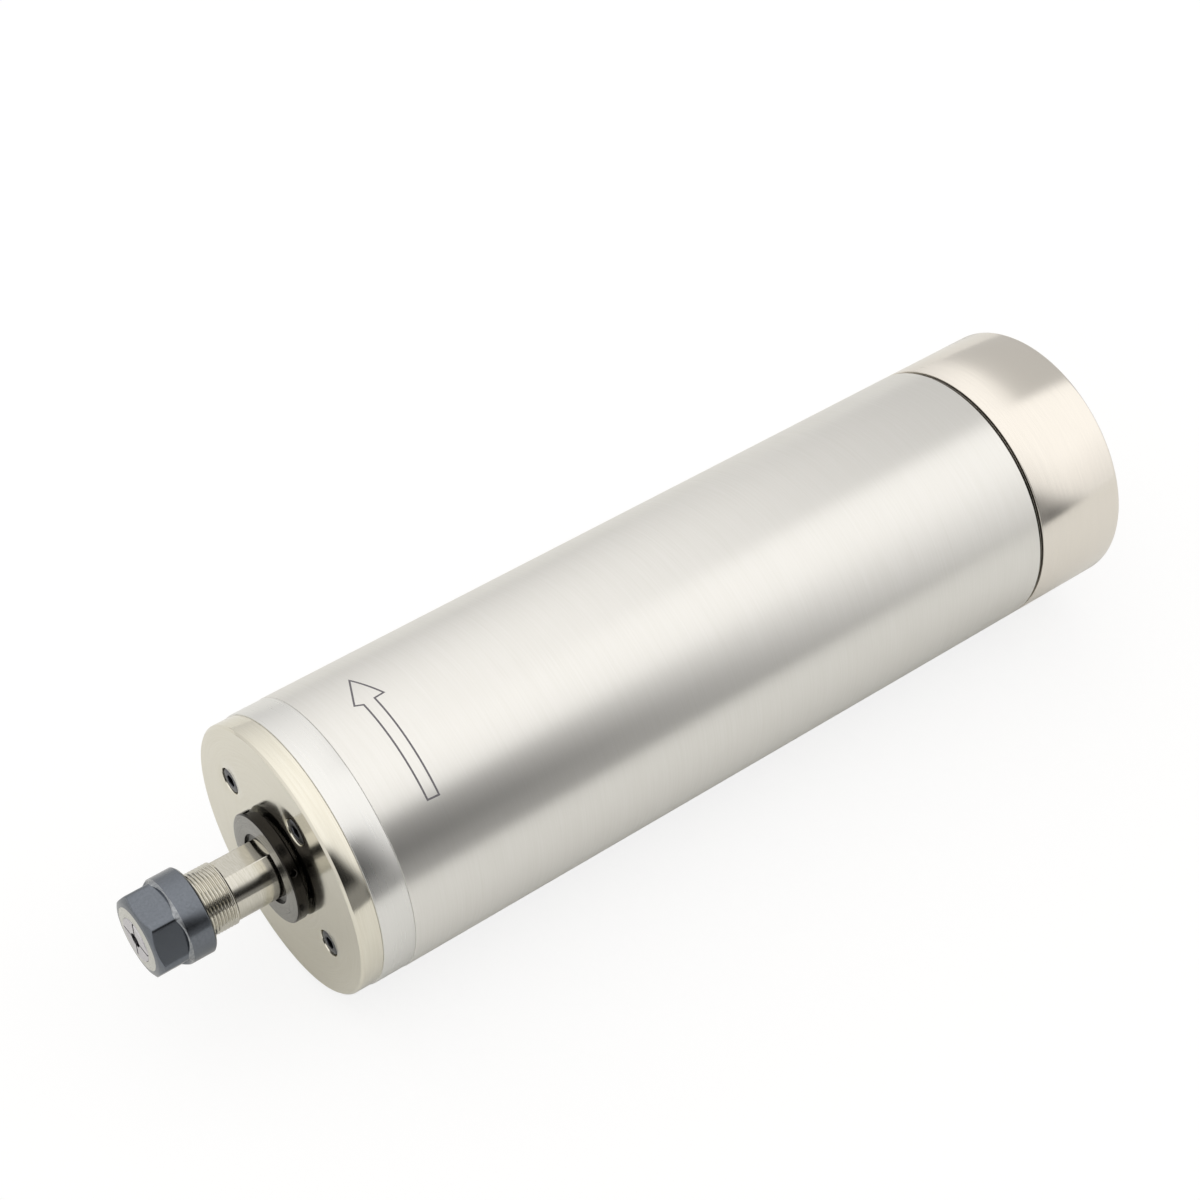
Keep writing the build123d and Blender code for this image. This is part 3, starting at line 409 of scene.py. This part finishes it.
# The ring between tube and plate is the flange of the front bearing housing, with the spigot that
# reaches into the tube and the seat of both front bearings.
SPIGOT_RADIUS, SEAT_RADIUS = TUBE.inner - FIT, BEARING.outer + FIT
piece("front_ring", [turned(*rounded(
    (RING.front, RING.outer, 0.16), (TUBE.front, RING.outer, 0.16), (TUBE.front, SPIGOT_RADIUS, 0.1),
    (RING.rear, SPIGOT_RADIUS, 0.4), (RING.rear, RING.inner, 0.2), (BEARING.rear, RING.inner, 0.2),
    (BEARING.rear, SEAT_RADIUS, 0.1), (RING.front, SEAT_RADIUS, 0.2), closed=True))],
    "housing", ["front_bearing_housing"], ring_finish)

# Four counterbored screws in each end of the body: their sink is a little wider than their heads.
SINK_DEPTH, SINK_RADIUS = 3.2, 3.0
COUNTERBORE = [(0, SINK_DEPTH), (SINK_RADIUS, SINK_DEPTH), (SINK_RADIUS, 0.2),
               (SINK_RADIUS + 0.06, 0.06), (SINK_RADIUS + 0.2, 0)]
FRONT_SCREWS, REAR_SCREWS = extent("front_plate_screws"), extent("rear_cap_screws")
FRONT_CIRCLE = (FRONT_SCREWS.inner + FRONT_SCREWS.outer) / 2
REAR_CIRCLE = (REAR_SCREWS.inner + REAR_SCREWS.outer) / 2
FRONT_FIRST, REAR_FIRST = 26.5, 40.0

# The polished front plate: rim, register and bore turned, and a face with four screw holes.
PLATE_EDGE, REGISTER_WALL = 0.5, 2.0
plate_side = rounded(
    (PLATE.front, PLATE.outer - PLATE_EDGE, 0), (PLATE.front + PLATE_EDGE, PLATE.outer, 0.35),
    (RING.front, PLATE.outer, 0.15), (RING.front, BEARING.outer, 0.1),
    (PLATE.rear, BEARING.outer, 0.2), (PLATE.rear, BEARING.outer - REGISTER_WALL, 0.2),
    (RING.front, BEARING.outer - REGISTER_WALL, 0.1), (RING.front, PLATE.inner, 0.2),
    (PLATE.front + PLATE_EDGE, PLATE.inner, 0.2), (PLATE.front, PLATE.inner + PLATE_EDGE, 0))
plate_face = bolted_face(PLATE.front, -1, PLATE.inner + PLATE_EDGE, PLATE.outer - PLATE_EDGE,
                         FRONT_CIRCLE, FRONT_FIRST, COUNTERBORE)
piece("front_cover", [turned(*plate_side), *plate_face],
      "housing", ["front_plate"], nickel)

# The rear cap: a groove behind the tube whose bottom is painted nearly black as shade, the side, and a
# face with four screw holes. The coolant fittings end at the inside of its end wall.
CAP_EDGE, CAVITY_RADIUS, GROOVE_WIDTH, GROOVE_DEPTH = 0.8, 20.0, 1.0, 0.9
GROOVE_REAR, GROOVE_RADIUS = TUBE.rear + GROOVE_WIDTH, CAP.outer - GROOVE_DEPTH
FACE_RADIUS = CAP.outer - CAP_EDGE - 0.01
cap_side = rounded(
    (CAP.rear, CAP.inner, 0), (FITTING.front, CAP.inner, 0.2), (FITTING.front, CAVITY_RADIUS, 0.8),
    (CAP.front, CAVITY_RADIUS, 0.3), (CAP.front, SPIGOT_RADIUS, 0.4),
    (TUBE.rear, SPIGOT_RADIUS, 0.05), (TUBE.rear, GROOVE_RADIUS, 0.05),
    (GROOVE_REAR, GROOVE_RADIUS, 0.1), (GROOVE_REAR, CAP.outer, 0.2),
    (CAP.rear, CAP.outer, CAP_EDGE), (CAP.rear, FACE_RADIUS, 0))
cap_face = bolted_face(CAP.rear, 1, CAP.inner, FACE_RADIUS, REAR_CIRCLE, REAR_FIRST, COUNTERBORE)
cap_cover = piece("rear_cover", [turned(*cap_side), *cap_face],
                  "housing", ["rear_cap"], nickel_ground)
# The groove's faces get the painted shade.
repaint(cap_cover, groove_painted_shade, lambda x, r, facing: (
    (x > TUBE.rear - 0.1) & (x < GROOVE_REAR - 0.04) & (r < CAP.outer - 0.3)))

# The screws, with their heads on the bottom of the counterbores.
for label, replaced, face, way, tip, circle, first in (
        ("front_screws", "front_plate_screws", PLATE.front, 1, FRONT_SCREWS.rear,
         FRONT_CIRCLE, FRONT_FIRST),
        ("rear_screws", "rear_cap_screws", CAP.rear, -1, REAR_SCREWS.front,
         REAR_CIRCLE, REAR_FIRST)):
    seat = face + way * SINK_DEPTH
    screws = [socket_screw(around(circle, first + 90 * i), seat, way, abs(tip - seat)) for i in range(4)]
    piece(label, screws, "housing", [replaced], screw_finish)

# The arrow that shows the turning direction: a closed outline of even width on the tube. Its
# corners are stations from the plate and angles from the top; the line is offset to both sides of
# each corner along the mean of its sides' normals, then wrapped round the tube.
LINE_WIDTH, LINE_RISE, LINE_ROOT, LINE_STEPS = 0.4, 0.015, 0.05, 24
ARROW = ((25.25, 17.0), (28.36, 2.1), (26.06, 1.8), (25.86, -43.5), (23.23, -43.2),
         (23.33, 1.3), (21.67, 2.8))
corner = np.array(ARROW) * (1.0, radians(TUBE.outer)) + (PLATE.front, 0.0)
ahead = np.roll(corner, -1, 0) - corner
ahead /= np.linalg.norm(ahead, axis=1, keepdims=True)
side = ahead @ np.array([[0.0, 1.0], [-1.0, 0.0]])
before = np.roll(side, 1, 0)
mitre = (side + before) / (1 + (side * before).sum(1, keepdims=True))
share = np.linspace(0, 1, LINE_STEPS, endpoint=False)[None, :, None]
line = (corner[:, None] * (1 - share) + np.roll(corner, -1, 0)[:, None] * share).reshape(-1, 2)
slant = (mitre[:, None] * (1 - share) + np.roll(mitre, -1, 0)[:, None] * share).reshape(-1, 2)
across = np.array([-0.5, 0.5, 0.5, -0.5, -0.5])[:, None, None] * LINE_WIDTH
height = TUBE.outer + np.array([LINE_RISE, LINE_RISE, -LINE_ROOT, -LINE_ROOT, LINE_RISE])[:, None]
flat = line + slant * across
angle = np.pi / 2 - flat[..., 1] / TUBE.outer
mark = np.stack([flat[..., 0], height * np.cos(angle), height * np.sin(angle)], -1)
piece("turning_arrow", [(mark.reshape(-1, 3), cells(5, mark.shape[1]))],
      "housing", [], laser_mark)


# ---- shaft nose --------------------------------------------------------------------------------

SHAFT, COLLET, SLINGER, NUT, INNER_RING = map(extent, (
    "shaft", "collet", "slinger_ring", "collet_nut", "front_bearing_2_inner_ring"))
REAR_BEARING, RETAINER, ROTOR, ROTOR_CAGE = map(extent, (
    "rear_bearing_inner_ring", "retaining_ring", "rotor_core", "rotor_cage"))

# The shaft: a drilled tool bore, the collet's taper, thread, neck with two flats, and behind them
# the seats of the front bearings, rotor and rear bearing, with the groove of its retaining ring.
NECK_RADIUS, THREAD_RADIUS, THREAD_PITCH, THREAD_REAR, FLATS_REAR = 6.5, 6.95, 0.75, -110.4, -100.0
TOOL_BORE, BORE_DEPTH, TAPER_END, TAPER = 3.6, 16.0, 3.72, 8.0
FLATS_ACROSS, FLATS_ANGLE, SHOULDER, REAR_STEP = 11.0, 75.0, 5.0, 7.5
SLEEVE_FRONT = SLINGER.front + 1.0
bore_end, rotor_end = COLLET.rear + BORE_DEPTH, ROTOR_CAGE.rear + 3.0
mouth = TAPER_END + (COLLET.rear - SHAFT.front) * tan(radians(TAPER))
off_flat = np.maximum(np.abs(np.cos(TURN - radians(FLATS_ANGLE))), 1e-3)
flats = np.minimum(NECK_RADIUS, FLATS_ACROSS / 2 / off_flat)[None]
shaft_rows = stacked(
    rounded((bore_end + TOOL_BORE * tan(radians(30.0)), 0, 0), (bore_end, TOOL_BORE, 0),
            (COLLET.rear, TOOL_BORE, 0), (COLLET.rear, TAPER_END, 0), (SHAFT.front, mouth, 0.15),
            (SHAFT.front, NECK_RADIUS, 0.1), (SHAFT.front + 0.45, THREAD_RADIUS, 0)),
    threaded(SHAFT.front + 0.5, THREAD_REAR - 0.34, THREAD_RADIUS, THREAD_PITCH),
    ([THREAD_REAR - 0.3, THREAD_REAR], [THREAD_RADIUS - 0.05, NECK_RADIUS + 0.1]),
    (THREAD_REAR * WHOLE, flats), (FLATS_REAR * WHOLE, flats),
    rounded((FLATS_REAR + 0.02, NECK_RADIUS, 0), (SLEEVE_FRONT, NECK_RADIUS, 0),
            (SLEEVE_FRONT, INNER_RING.inner - FIT, 0.1), (INNER_RING.rear, INNER_RING.inner - FIT, 0.1),
            (INNER_RING.rear, SHAFT.outer, 0.3), (INNER_RING.rear + SHOULDER, SHAFT.outer, 0.3),
            (INNER_RING.rear + SHOULDER, ROTOR.inner - FIT, 0.1), (rotor_end, ROTOR.inner - FIT, 0.3),
            (rotor_end, REAR_STEP, 0.2), (REAR_BEARING.front, REAR_STEP, 0.2),
            (REAR_BEARING.front, REAR_BEARING.inner - FIT, 0.1),
            (RETAINER.front, REAR_BEARING.inner - FIT, 0.05),
            (RETAINER.front, RETAINER.inner - FIT, 0.05), (RETAINER.rear, RETAINER.inner - FIT, 0.05),
            (RETAINER.rear, REAR_BEARING.inner - FIT, 0.05),
            (SHAFT.rear, REAR_BEARING.inner - FIT, 0.4), (SHAFT.rear, 0, 0)))
piece("nose_shaft", [turned(*shaft_rows)], "spindle", ["shaft"], shaft_finish)

# The slinger ring: a disc with a recess round the neck, a sleeve that reaches the bearing, and four
# holes in its rim for a pin spanner.
DISC_WIDTH, DISC_EDGE, RECESS_DEPTH, RECESS_RADIUS, SLEEVE_RADIUS = 2.3, 0.25, 0.6, 7.9, 9.5
SPANNER_HOLE, SPANNER_DEPTH, SPANNER_FIRST = 0.75, 2.4, 53.0
DISC_REAR, RIM_FRONT, RECESS = (SLINGER.front + v for v in (DISC_WIDTH, DISC_EDGE, RECESS_DEPTH))
slinger = [turned(*rounded(
    (DISC_REAR, SLINGER.outer, 0), (DISC_REAR, SLEEVE_RADIUS, 0.2), (SLINGER.rear, SLEEVE_RADIUS, 0.2),
    (SLINGER.rear, INNER_RING.inner + FIT, 0.2), (SLEEVE_FRONT, INNER_RING.inner + FIT, 0),
    (SLEEVE_FRONT, SLINGER.inner, 0), (RECESS, SLINGER.inner, 0.05), (RECESS, RECESS_RADIUS, 0.08),
    (SLINGER.front, RECESS_RADIUS, 0.1), (SLINGER.front, SLINGER.outer - DISC_EDGE, 0.1),
    (RIM_FRONT, SLINGER.outer, 0)))]
for middle in SPANNER_FIRST + 90.0 * np.arange(4):
    arc = SLINGER.outer * np.radians(QUARTER)
    rise = np.linspace(RIM_FRONT, DISC_REAR, 7)[1:-1]
    edge = np.concatenate([
        np.stack([arc, 0 * arc + RIM_FRONT], -1), np.stack([0 * rise + arc[-1], rise], -1),
        np.stack([arc[::-1], 0 * arc + DISC_REAR], -1), np.stack([0 * rise + arc[0], rise[::-1]], -1)])
    hole = bored(edge, np.array([0.0, (SLINGER.front + DISC_REAR) / 2]),
                 [(0, SPANNER_DEPTH + 0.1), (SPANNER_HOLE, SPANNER_DEPTH), (SPANNER_HOLE, 0.1),
                  (SPANNER_HOLE + 0.1, 0)], rows=9)[:, ::-1]
    turn = radians(middle) + hole[..., 0] / SLINGER.outer
    reach = SLINGER.outer - hole[..., 2]
    points = np.stack([hole[..., 1], reach * np.cos(turn), reach * np.sin(turn)], -1)
    slinger.append((points.reshape(-1, 3), cells(*turn.shape)))
disc = piece("slinger_disc", slinger, "spindle", ["slinger_ring"], slinger_painted_shade)
# Only the front face shows the steel's lighter turned tone. The rim, the recess round the neck and the
# spanner holes keep the painted shade.
repaint(disc, slinger_face_finish, lambda x, r, facing: (x < SLINGER.front + 0.02) & (facing < -0.9))

# The collet nut: a hexagon in front whose flats end in arcs against the round collar, a 60 degree
# chamfer across the hexagon's corners, and inside the cone that presses the collet, the offset lip
# that pulls it out, and the thread's bore.
HEXAGON, HEXAGON_TURN, CHAMFER_RADIUS, CHAMFER, BREAK, WEAR = 17.0, 65.0, 8.15, 60.0, 0.12, 0.22
CHAMFER_FRONT, FLAT_REAR, CORNER_REAR = (NUT.front + v for v in (0.4, 7.3, 6.4))
LIP_FRONT, LIP_REAR, LIP_RADIUS, LIP_OFFSET = NUT.front + 2.65, NUT.front + 3.55, 5.05, 0.15
CONE_MOUTH, CONE_RADIUS, CONE = 4.906, 5.82, 30.0
THREAD_BORE, THREAD_MOUTH, COLLAR_EDGE = 7.05, 7.5, 0.45
sides = softened(hexagon(HEXAGON, HEXAGON_TURN), NUT.outer + 0 * TURN)
crown = CHAMFER_FRONT + (sides - CHAMFER_RADIUS) / tan(radians(CHAMFER))
bulge = (sides - HEXAGON / 2) / (NUT.outer - HEXAGON / 2)
shoulder = FLAT_REAR + (CORNER_REAR - FLAT_REAR) * bulge
lip = LIP_OFFSET * np.cos(TURN) + np.sqrt(LIP_RADIUS ** 2 - (LIP_OFFSET * np.sin(TURN)) ** 2)
cone_rear = NUT.front + (CONE_RADIUS - CONE_MOUTH) / tan(radians(CONE))
nut_rows = stacked(
    ([CHAMFER_FRONT, CHAMFER_FRONT + 0.05], [CHAMFER_RADIUS - 0.02, CHAMFER_RADIUS + 0.09]),
    (crown[None] - BREAK * 0.5, sides[None] - BREAK * 0.9),
    (crown[None] + BREAK, sides[None]),
    (shoulder[None], sides[None]),
    (shoulder[None], np.maximum(sides, NUT.outer - WEAR)[None]),
    (shoulder[None] + WEAR, NUT.outer * WHOLE),
    rounded((FLAT_REAR + 0.3, NUT.outer, 0), (NUT.rear - COLLAR_EDGE, NUT.outer, 0.2),
            (NUT.rear, NUT.outer - COLLAR_EDGE, 0.2), (NUT.rear, THREAD_MOUTH, 0),
            (NUT.rear - COLLAR_EDGE, THREAD_BORE, 0), (LIP_REAR, THREAD_BORE, 0)),
    (LIP_REAR * WHOLE, lip[None]), (LIP_FRONT * WHOLE, lip[None]),
    ([LIP_FRONT, cone_rear, NUT.front], [CONE_RADIUS, CONE_RADIUS, CONE_MOUTH]))
FACE_EDGE, FACE_RISE = 7.1, 0.25
face_rows = rounded((NUT.front, CONE_MOUTH, 0), (NUT.front, 5.2, 0.05),
                    (NUT.front + FACE_RISE, FACE_EDGE, 0), (CHAMFER_FRONT, CHAMFER_RADIUS - 0.02, 0))
nut_body = piece("nut_body", [turned(*nut_rows), turned(*face_rows)],
                 "collet_nut", ["collet_nut"], nut_finish)
repaint(nut_body, nut_face_finish, lambda x, r, facing: (x < NUT.front + FACE_RISE) & (facing < -0.9))
repaint(nut_body, nut_edge_finish, lambda x, r, facing: (
    (x > CORNER_REAR) & (x < FLAT_REAR + WEAR) & (r > NUT.outer - WEAR)))


# ---- rear connections --------------------------------------------------------------------------

SHELL, INSERT = extent("connector_shell"), extent("connector_insert")

# The connector shell: flange, M16 x 1 thread, and a keyed socket behind the insert.
KEY_RADIUS, KEY_HALF, FLANGE, PLUG_RADIUS, PLUG_PITCH = 5.9, 9.0, 2.0, 7.95, 1.0
SOCKET_RADIUS, KEY_REAR, PLUG_REAR = INSERT.outer + FIT, SHELL.rear - 0.9, SHELL.rear - 0.45
key = np.where(np.abs(TURN - np.pi / 2) < radians(KEY_HALF), KEY_RADIUS, SOCKET_RADIUS)[None]
socket_x, socket_r = stacked(
    rounded((SHELL.front, SHELL.inner, 0.1), (INSERT.front, SHELL.inner, 0),
            (INSERT.front, SOCKET_RADIUS, 0), (INSERT.rear, SOCKET_RADIUS, 0)),
    (INSERT.rear * WHOLE, key), (KEY_REAR * WHOLE, key),
    rounded((KEY_REAR, SOCKET_RADIUS, 0), (SHELL.rear - 0.2, SOCKET_RADIUS, 0),
            (SHELL.rear, SOCKET_RADIUS + 0.2, 0), (SHELL.rear, PLUG_RADIUS - 0.55, 0),
            (PLUG_REAR, PLUG_RADIUS, 0)))
outer_rows = stacked(
    rounded((SHELL.front, SHELL.inner, 0), (SHELL.front, CAP.inner - 0.05, 0.3),
            (CAP.rear, CAP.inner - 0.05, 0), (CAP.rear, SHELL.outer, 0.05),
            (CAP.rear + FLANGE, SHELL.outer, 0.4), (CAP.rear + FLANGE, PLUG_RADIUS, 0.1),
            (CAP.rear + FLANGE + 0.3, PLUG_RADIUS, 0)),
    threaded(CAP.rear + FLANGE + 0.4, PLUG_REAR - 0.1, PLUG_RADIUS, PLUG_PITCH),
    ([PLUG_REAR], [PLUG_RADIUS]))
piece("socket_shell", [turned(socket_x[::-1], socket_r[::-1]), turned(*outer_rows)],
      "housing", ["connector_shell"], chrome_finish)

# The hose fittings: hexagon with a chamfered top, a plain stem and three barbs, and the bore.
FITTING_CIRCLE, FITTING_ANGLES = (FITTING.inner + FITTING.outer) / 2, (0.0, -100.0)
WRENCH, WRENCH_HEIGHT, STEM_RADIUS, STEM_BORE, SHANK_RADIUS = 9.0, 3.5, 2.5, 1.4, 3.0
BARB_LENGTH, BARB_LOW, BARBS_FRONT = 2.0, 2.05, 6.0
wrench_top = CAP.rear + WRENCH_HEIGHT
barbs = [(wrench_top + BARBS_FRONT + BARB_LENGTH * i + step, r, 0.08)
         for i in range(3) for step, r in ((0, STEM_RADIUS), (BARB_LENGTH - 0.02, BARB_LOW))]
for label, middle in zip(("coolant_inlet", "coolant_outlet"), FITTING_ANGLES):
    wrench = hexagon(WRENCH, middle)
    cone = wrench_top - np.clip(wrench - WRENCH / 2 + 0.05, 0, None) * 0.6
    fitting_rows = stacked(
        rounded((FITTING.front, STEM_BORE, 0), (FITTING.front, SHANK_RADIUS, 0.3),
                (CAP.rear, SHANK_RADIUS, 0)),
        (CAP.rear * WHOLE, wrench[None]), (cone[None], wrench[None]),
        (wrench_top * WHOLE, (WRENCH / 2 - 0.2) * WHOLE),
        rounded((wrench_top, WRENCH / 2 - 0.5, 0), (wrench_top, STEM_RADIUS, 0.2), *barbs[1:],
                (FITTING.rear, STEM_BORE, 0.1), (FITTING.front, STEM_BORE, 0)))
    piece(f"{label}_tail", [turned(*fitting_rows, around(FITTING_CIRCLE, middle))],
          "housing", [label], brass_finish)


# ---- stage, light and camera -------------------------------------------------------------------

# A pale table that the body lies on. The camera sees its own white, dimmed a little by the shadow
# that a faint matt share of it catches. Metal and light see matt white paper.
TABLE_CORNERS = ((-800, -300), (800, -300), (800, 800), (-800, 800))
sheet_mesh = bpy.data.meshes.new("table")
sheet_mesh.from_pydata([(x * MM, y * MM, -TUBE.outer * MM) for x, y in TABLE_CORNERS], [], [(0, 1, 2, 3)])
table = bpy.data.objects.new("table", sheet_mesh)
bpy.context.scene.collection.objects.link(table)
paper = bpy.data.materials.new("matt_white_paper")
paper.use_nodes = True
sheet = paper.node_tree
sheet.nodes.remove(sheet.nodes["Principled BSDF"])
own_white = node(sheet, "Emission", {"Color": linear("FFFFFF"), "Strength": 0.80}).outputs[0]
catch = node(sheet, "BsdfDiffuse", {"Color": linear("7F7F7F")}).outputs[0]
for_camera = node(sheet, "AddShader", {0: own_white, 1: catch}).outputs[0]
matt = node(sheet, "BsdfDiffuse", {"Color": linear("EEEEEC")}).outputs[0]
by_camera = node(sheet, "LightPath").outputs["Is Camera Ray"]
sheet.links.new(node(sheet, "MixShader", {0: by_camera, 1: matt, 2: for_camera}).outputs[0],
                sheet.nodes["Material Output"].inputs[0])
table.data.materials.append(paper)

# The studio round the object, as a level of light for each direction. It rises with height and a
# step to the right, up to the softbox's own level. A grey wall stands behind on the right. A dark
# panel with soft edges stands in front, low down; its right edge leans, and its foot is lit where
# it faces the tube. Metal shows it as a band. The camera sees plain white.
world = bpy.data.worlds.new("studio")
bpy.context.scene.world = world
world.use_nodes = True
sky = world.node_tree
way_x, way_y, way_z = node(sky, "SeparateXYZ", {0: node(sky, "TexCoord").outputs["Generated"]}).outputs


def panel(*edges):
    """How far each direction lies inside a panel with soft edges: the product of one smooth slope an
    edge. An edge is a value that changes with direction, where the panel starts and is complete."""
    inside = 1.0
    for value, start, complete in edges:
        slope = node(sky, "MapRange", {0: value, 1: start, 2: complete},
                     interpolation_type="SMOOTHSTEP").outputs[0]
        inside = node(sky, "Math", {0: inside, 1: slope}, operation="MULTIPLY").outputs[0]
    return inside


rising = node(sky, "Math", {0: way_z, 1: 0.52, 2: 0.74}, operation="MULTIPLY_ADD").outputs[0]
stepped = node(sky, "Math", {0: panel((way_x, 0.36, 0.56)), 1: 0.24, 2: rising},
               operation="MULTIPLY_ADD").outputs[0]
softbox = node(sky, "Math", {0: stepped, 1: 1.23}, operation="MINIMUM").outputs[0]
grey_wall = panel((way_x, 0.52, 0.55), (way_y, -0.02, 0.14))
walled = node(sky, "MapRange", {0: grey_wall, 3: softbox, 4: 0.62}).outputs[0]
leaning = node(sky, "Math", {0: way_z, 1: 0.4, 2: way_x}, operation="MULTIPLY_ADD").outputs[0]
dark_panel = panel((way_y, -0.20, -0.45), (way_z, 0.78, 0.58), (leaning, 0.60, 0.44),
                   (way_x, -0.65, -0.40))
foot = panel((way_z, 0.26, 0.04), (way_x, 0.50, 0.40))
cover = node(sky, "MapRange", {0: foot, 3: 1.0, 4: 0.65}).outputs[0]
covered = node(sky, "Math", {0: dark_panel, 1: cover}, operation="MULTIPLY").outputs[0]
dimmed = node(sky, "MapRange", {0: covered, 3: 1.0, 4: 0.02}).outputs[0]
light = node(sky, "Math", {0: walled, 1: dimmed}, operation="MULTIPLY").outputs[0]
room = node(sky, "Background", {"Color": linear("FFFDFA"), "Strength": light}).outputs[0]
backdrop = node(sky, "Background", {"Color": linear("FFFFFF"), "Strength": 1.0}).outputs[0]
from_camera = node(sky, "LightPath").outputs["Is Camera Ray"]
sky.links.new(node(sky, "MixShader", {0: from_camera, 1: room, 2: backdrop}).outputs[0],
              sky.nodes["World Output"].inputs[0])

# The camera's place in mm, its turn in degrees, and a lens for a 36 mm frame.
CAMERA_PLACE, AZIMUTH, ELEVATION = (-244.84, -304.73, 404.89), radians(-36.91), radians(44.82)
lens = bpy.data.cameras.new("camera")
lens.lens, lens.sensor_width, lens.clip_start = 77.24, 36.0, 0.01
camera = bpy.data.objects.new("camera", lens)
bpy.context.scene.collection.objects.link(camera)
backward = Vector((sin(AZIMUTH) * cos(ELEVATION), -cos(AZIMUTH) * cos(ELEVATION), sin(ELEVATION)))
right = Vector((cos(AZIMUTH), sin(AZIMUTH), 0))
aim = Matrix((right, backward.cross(right), backward)).transposed()
camera.matrix_world = Matrix.Translation(Vector(CAMERA_PLACE) * MM) @ aim.to_4x4()
bpy.context.scene.camera = camera
bpy.context.scene.view_settings.view_transform = "Standard"
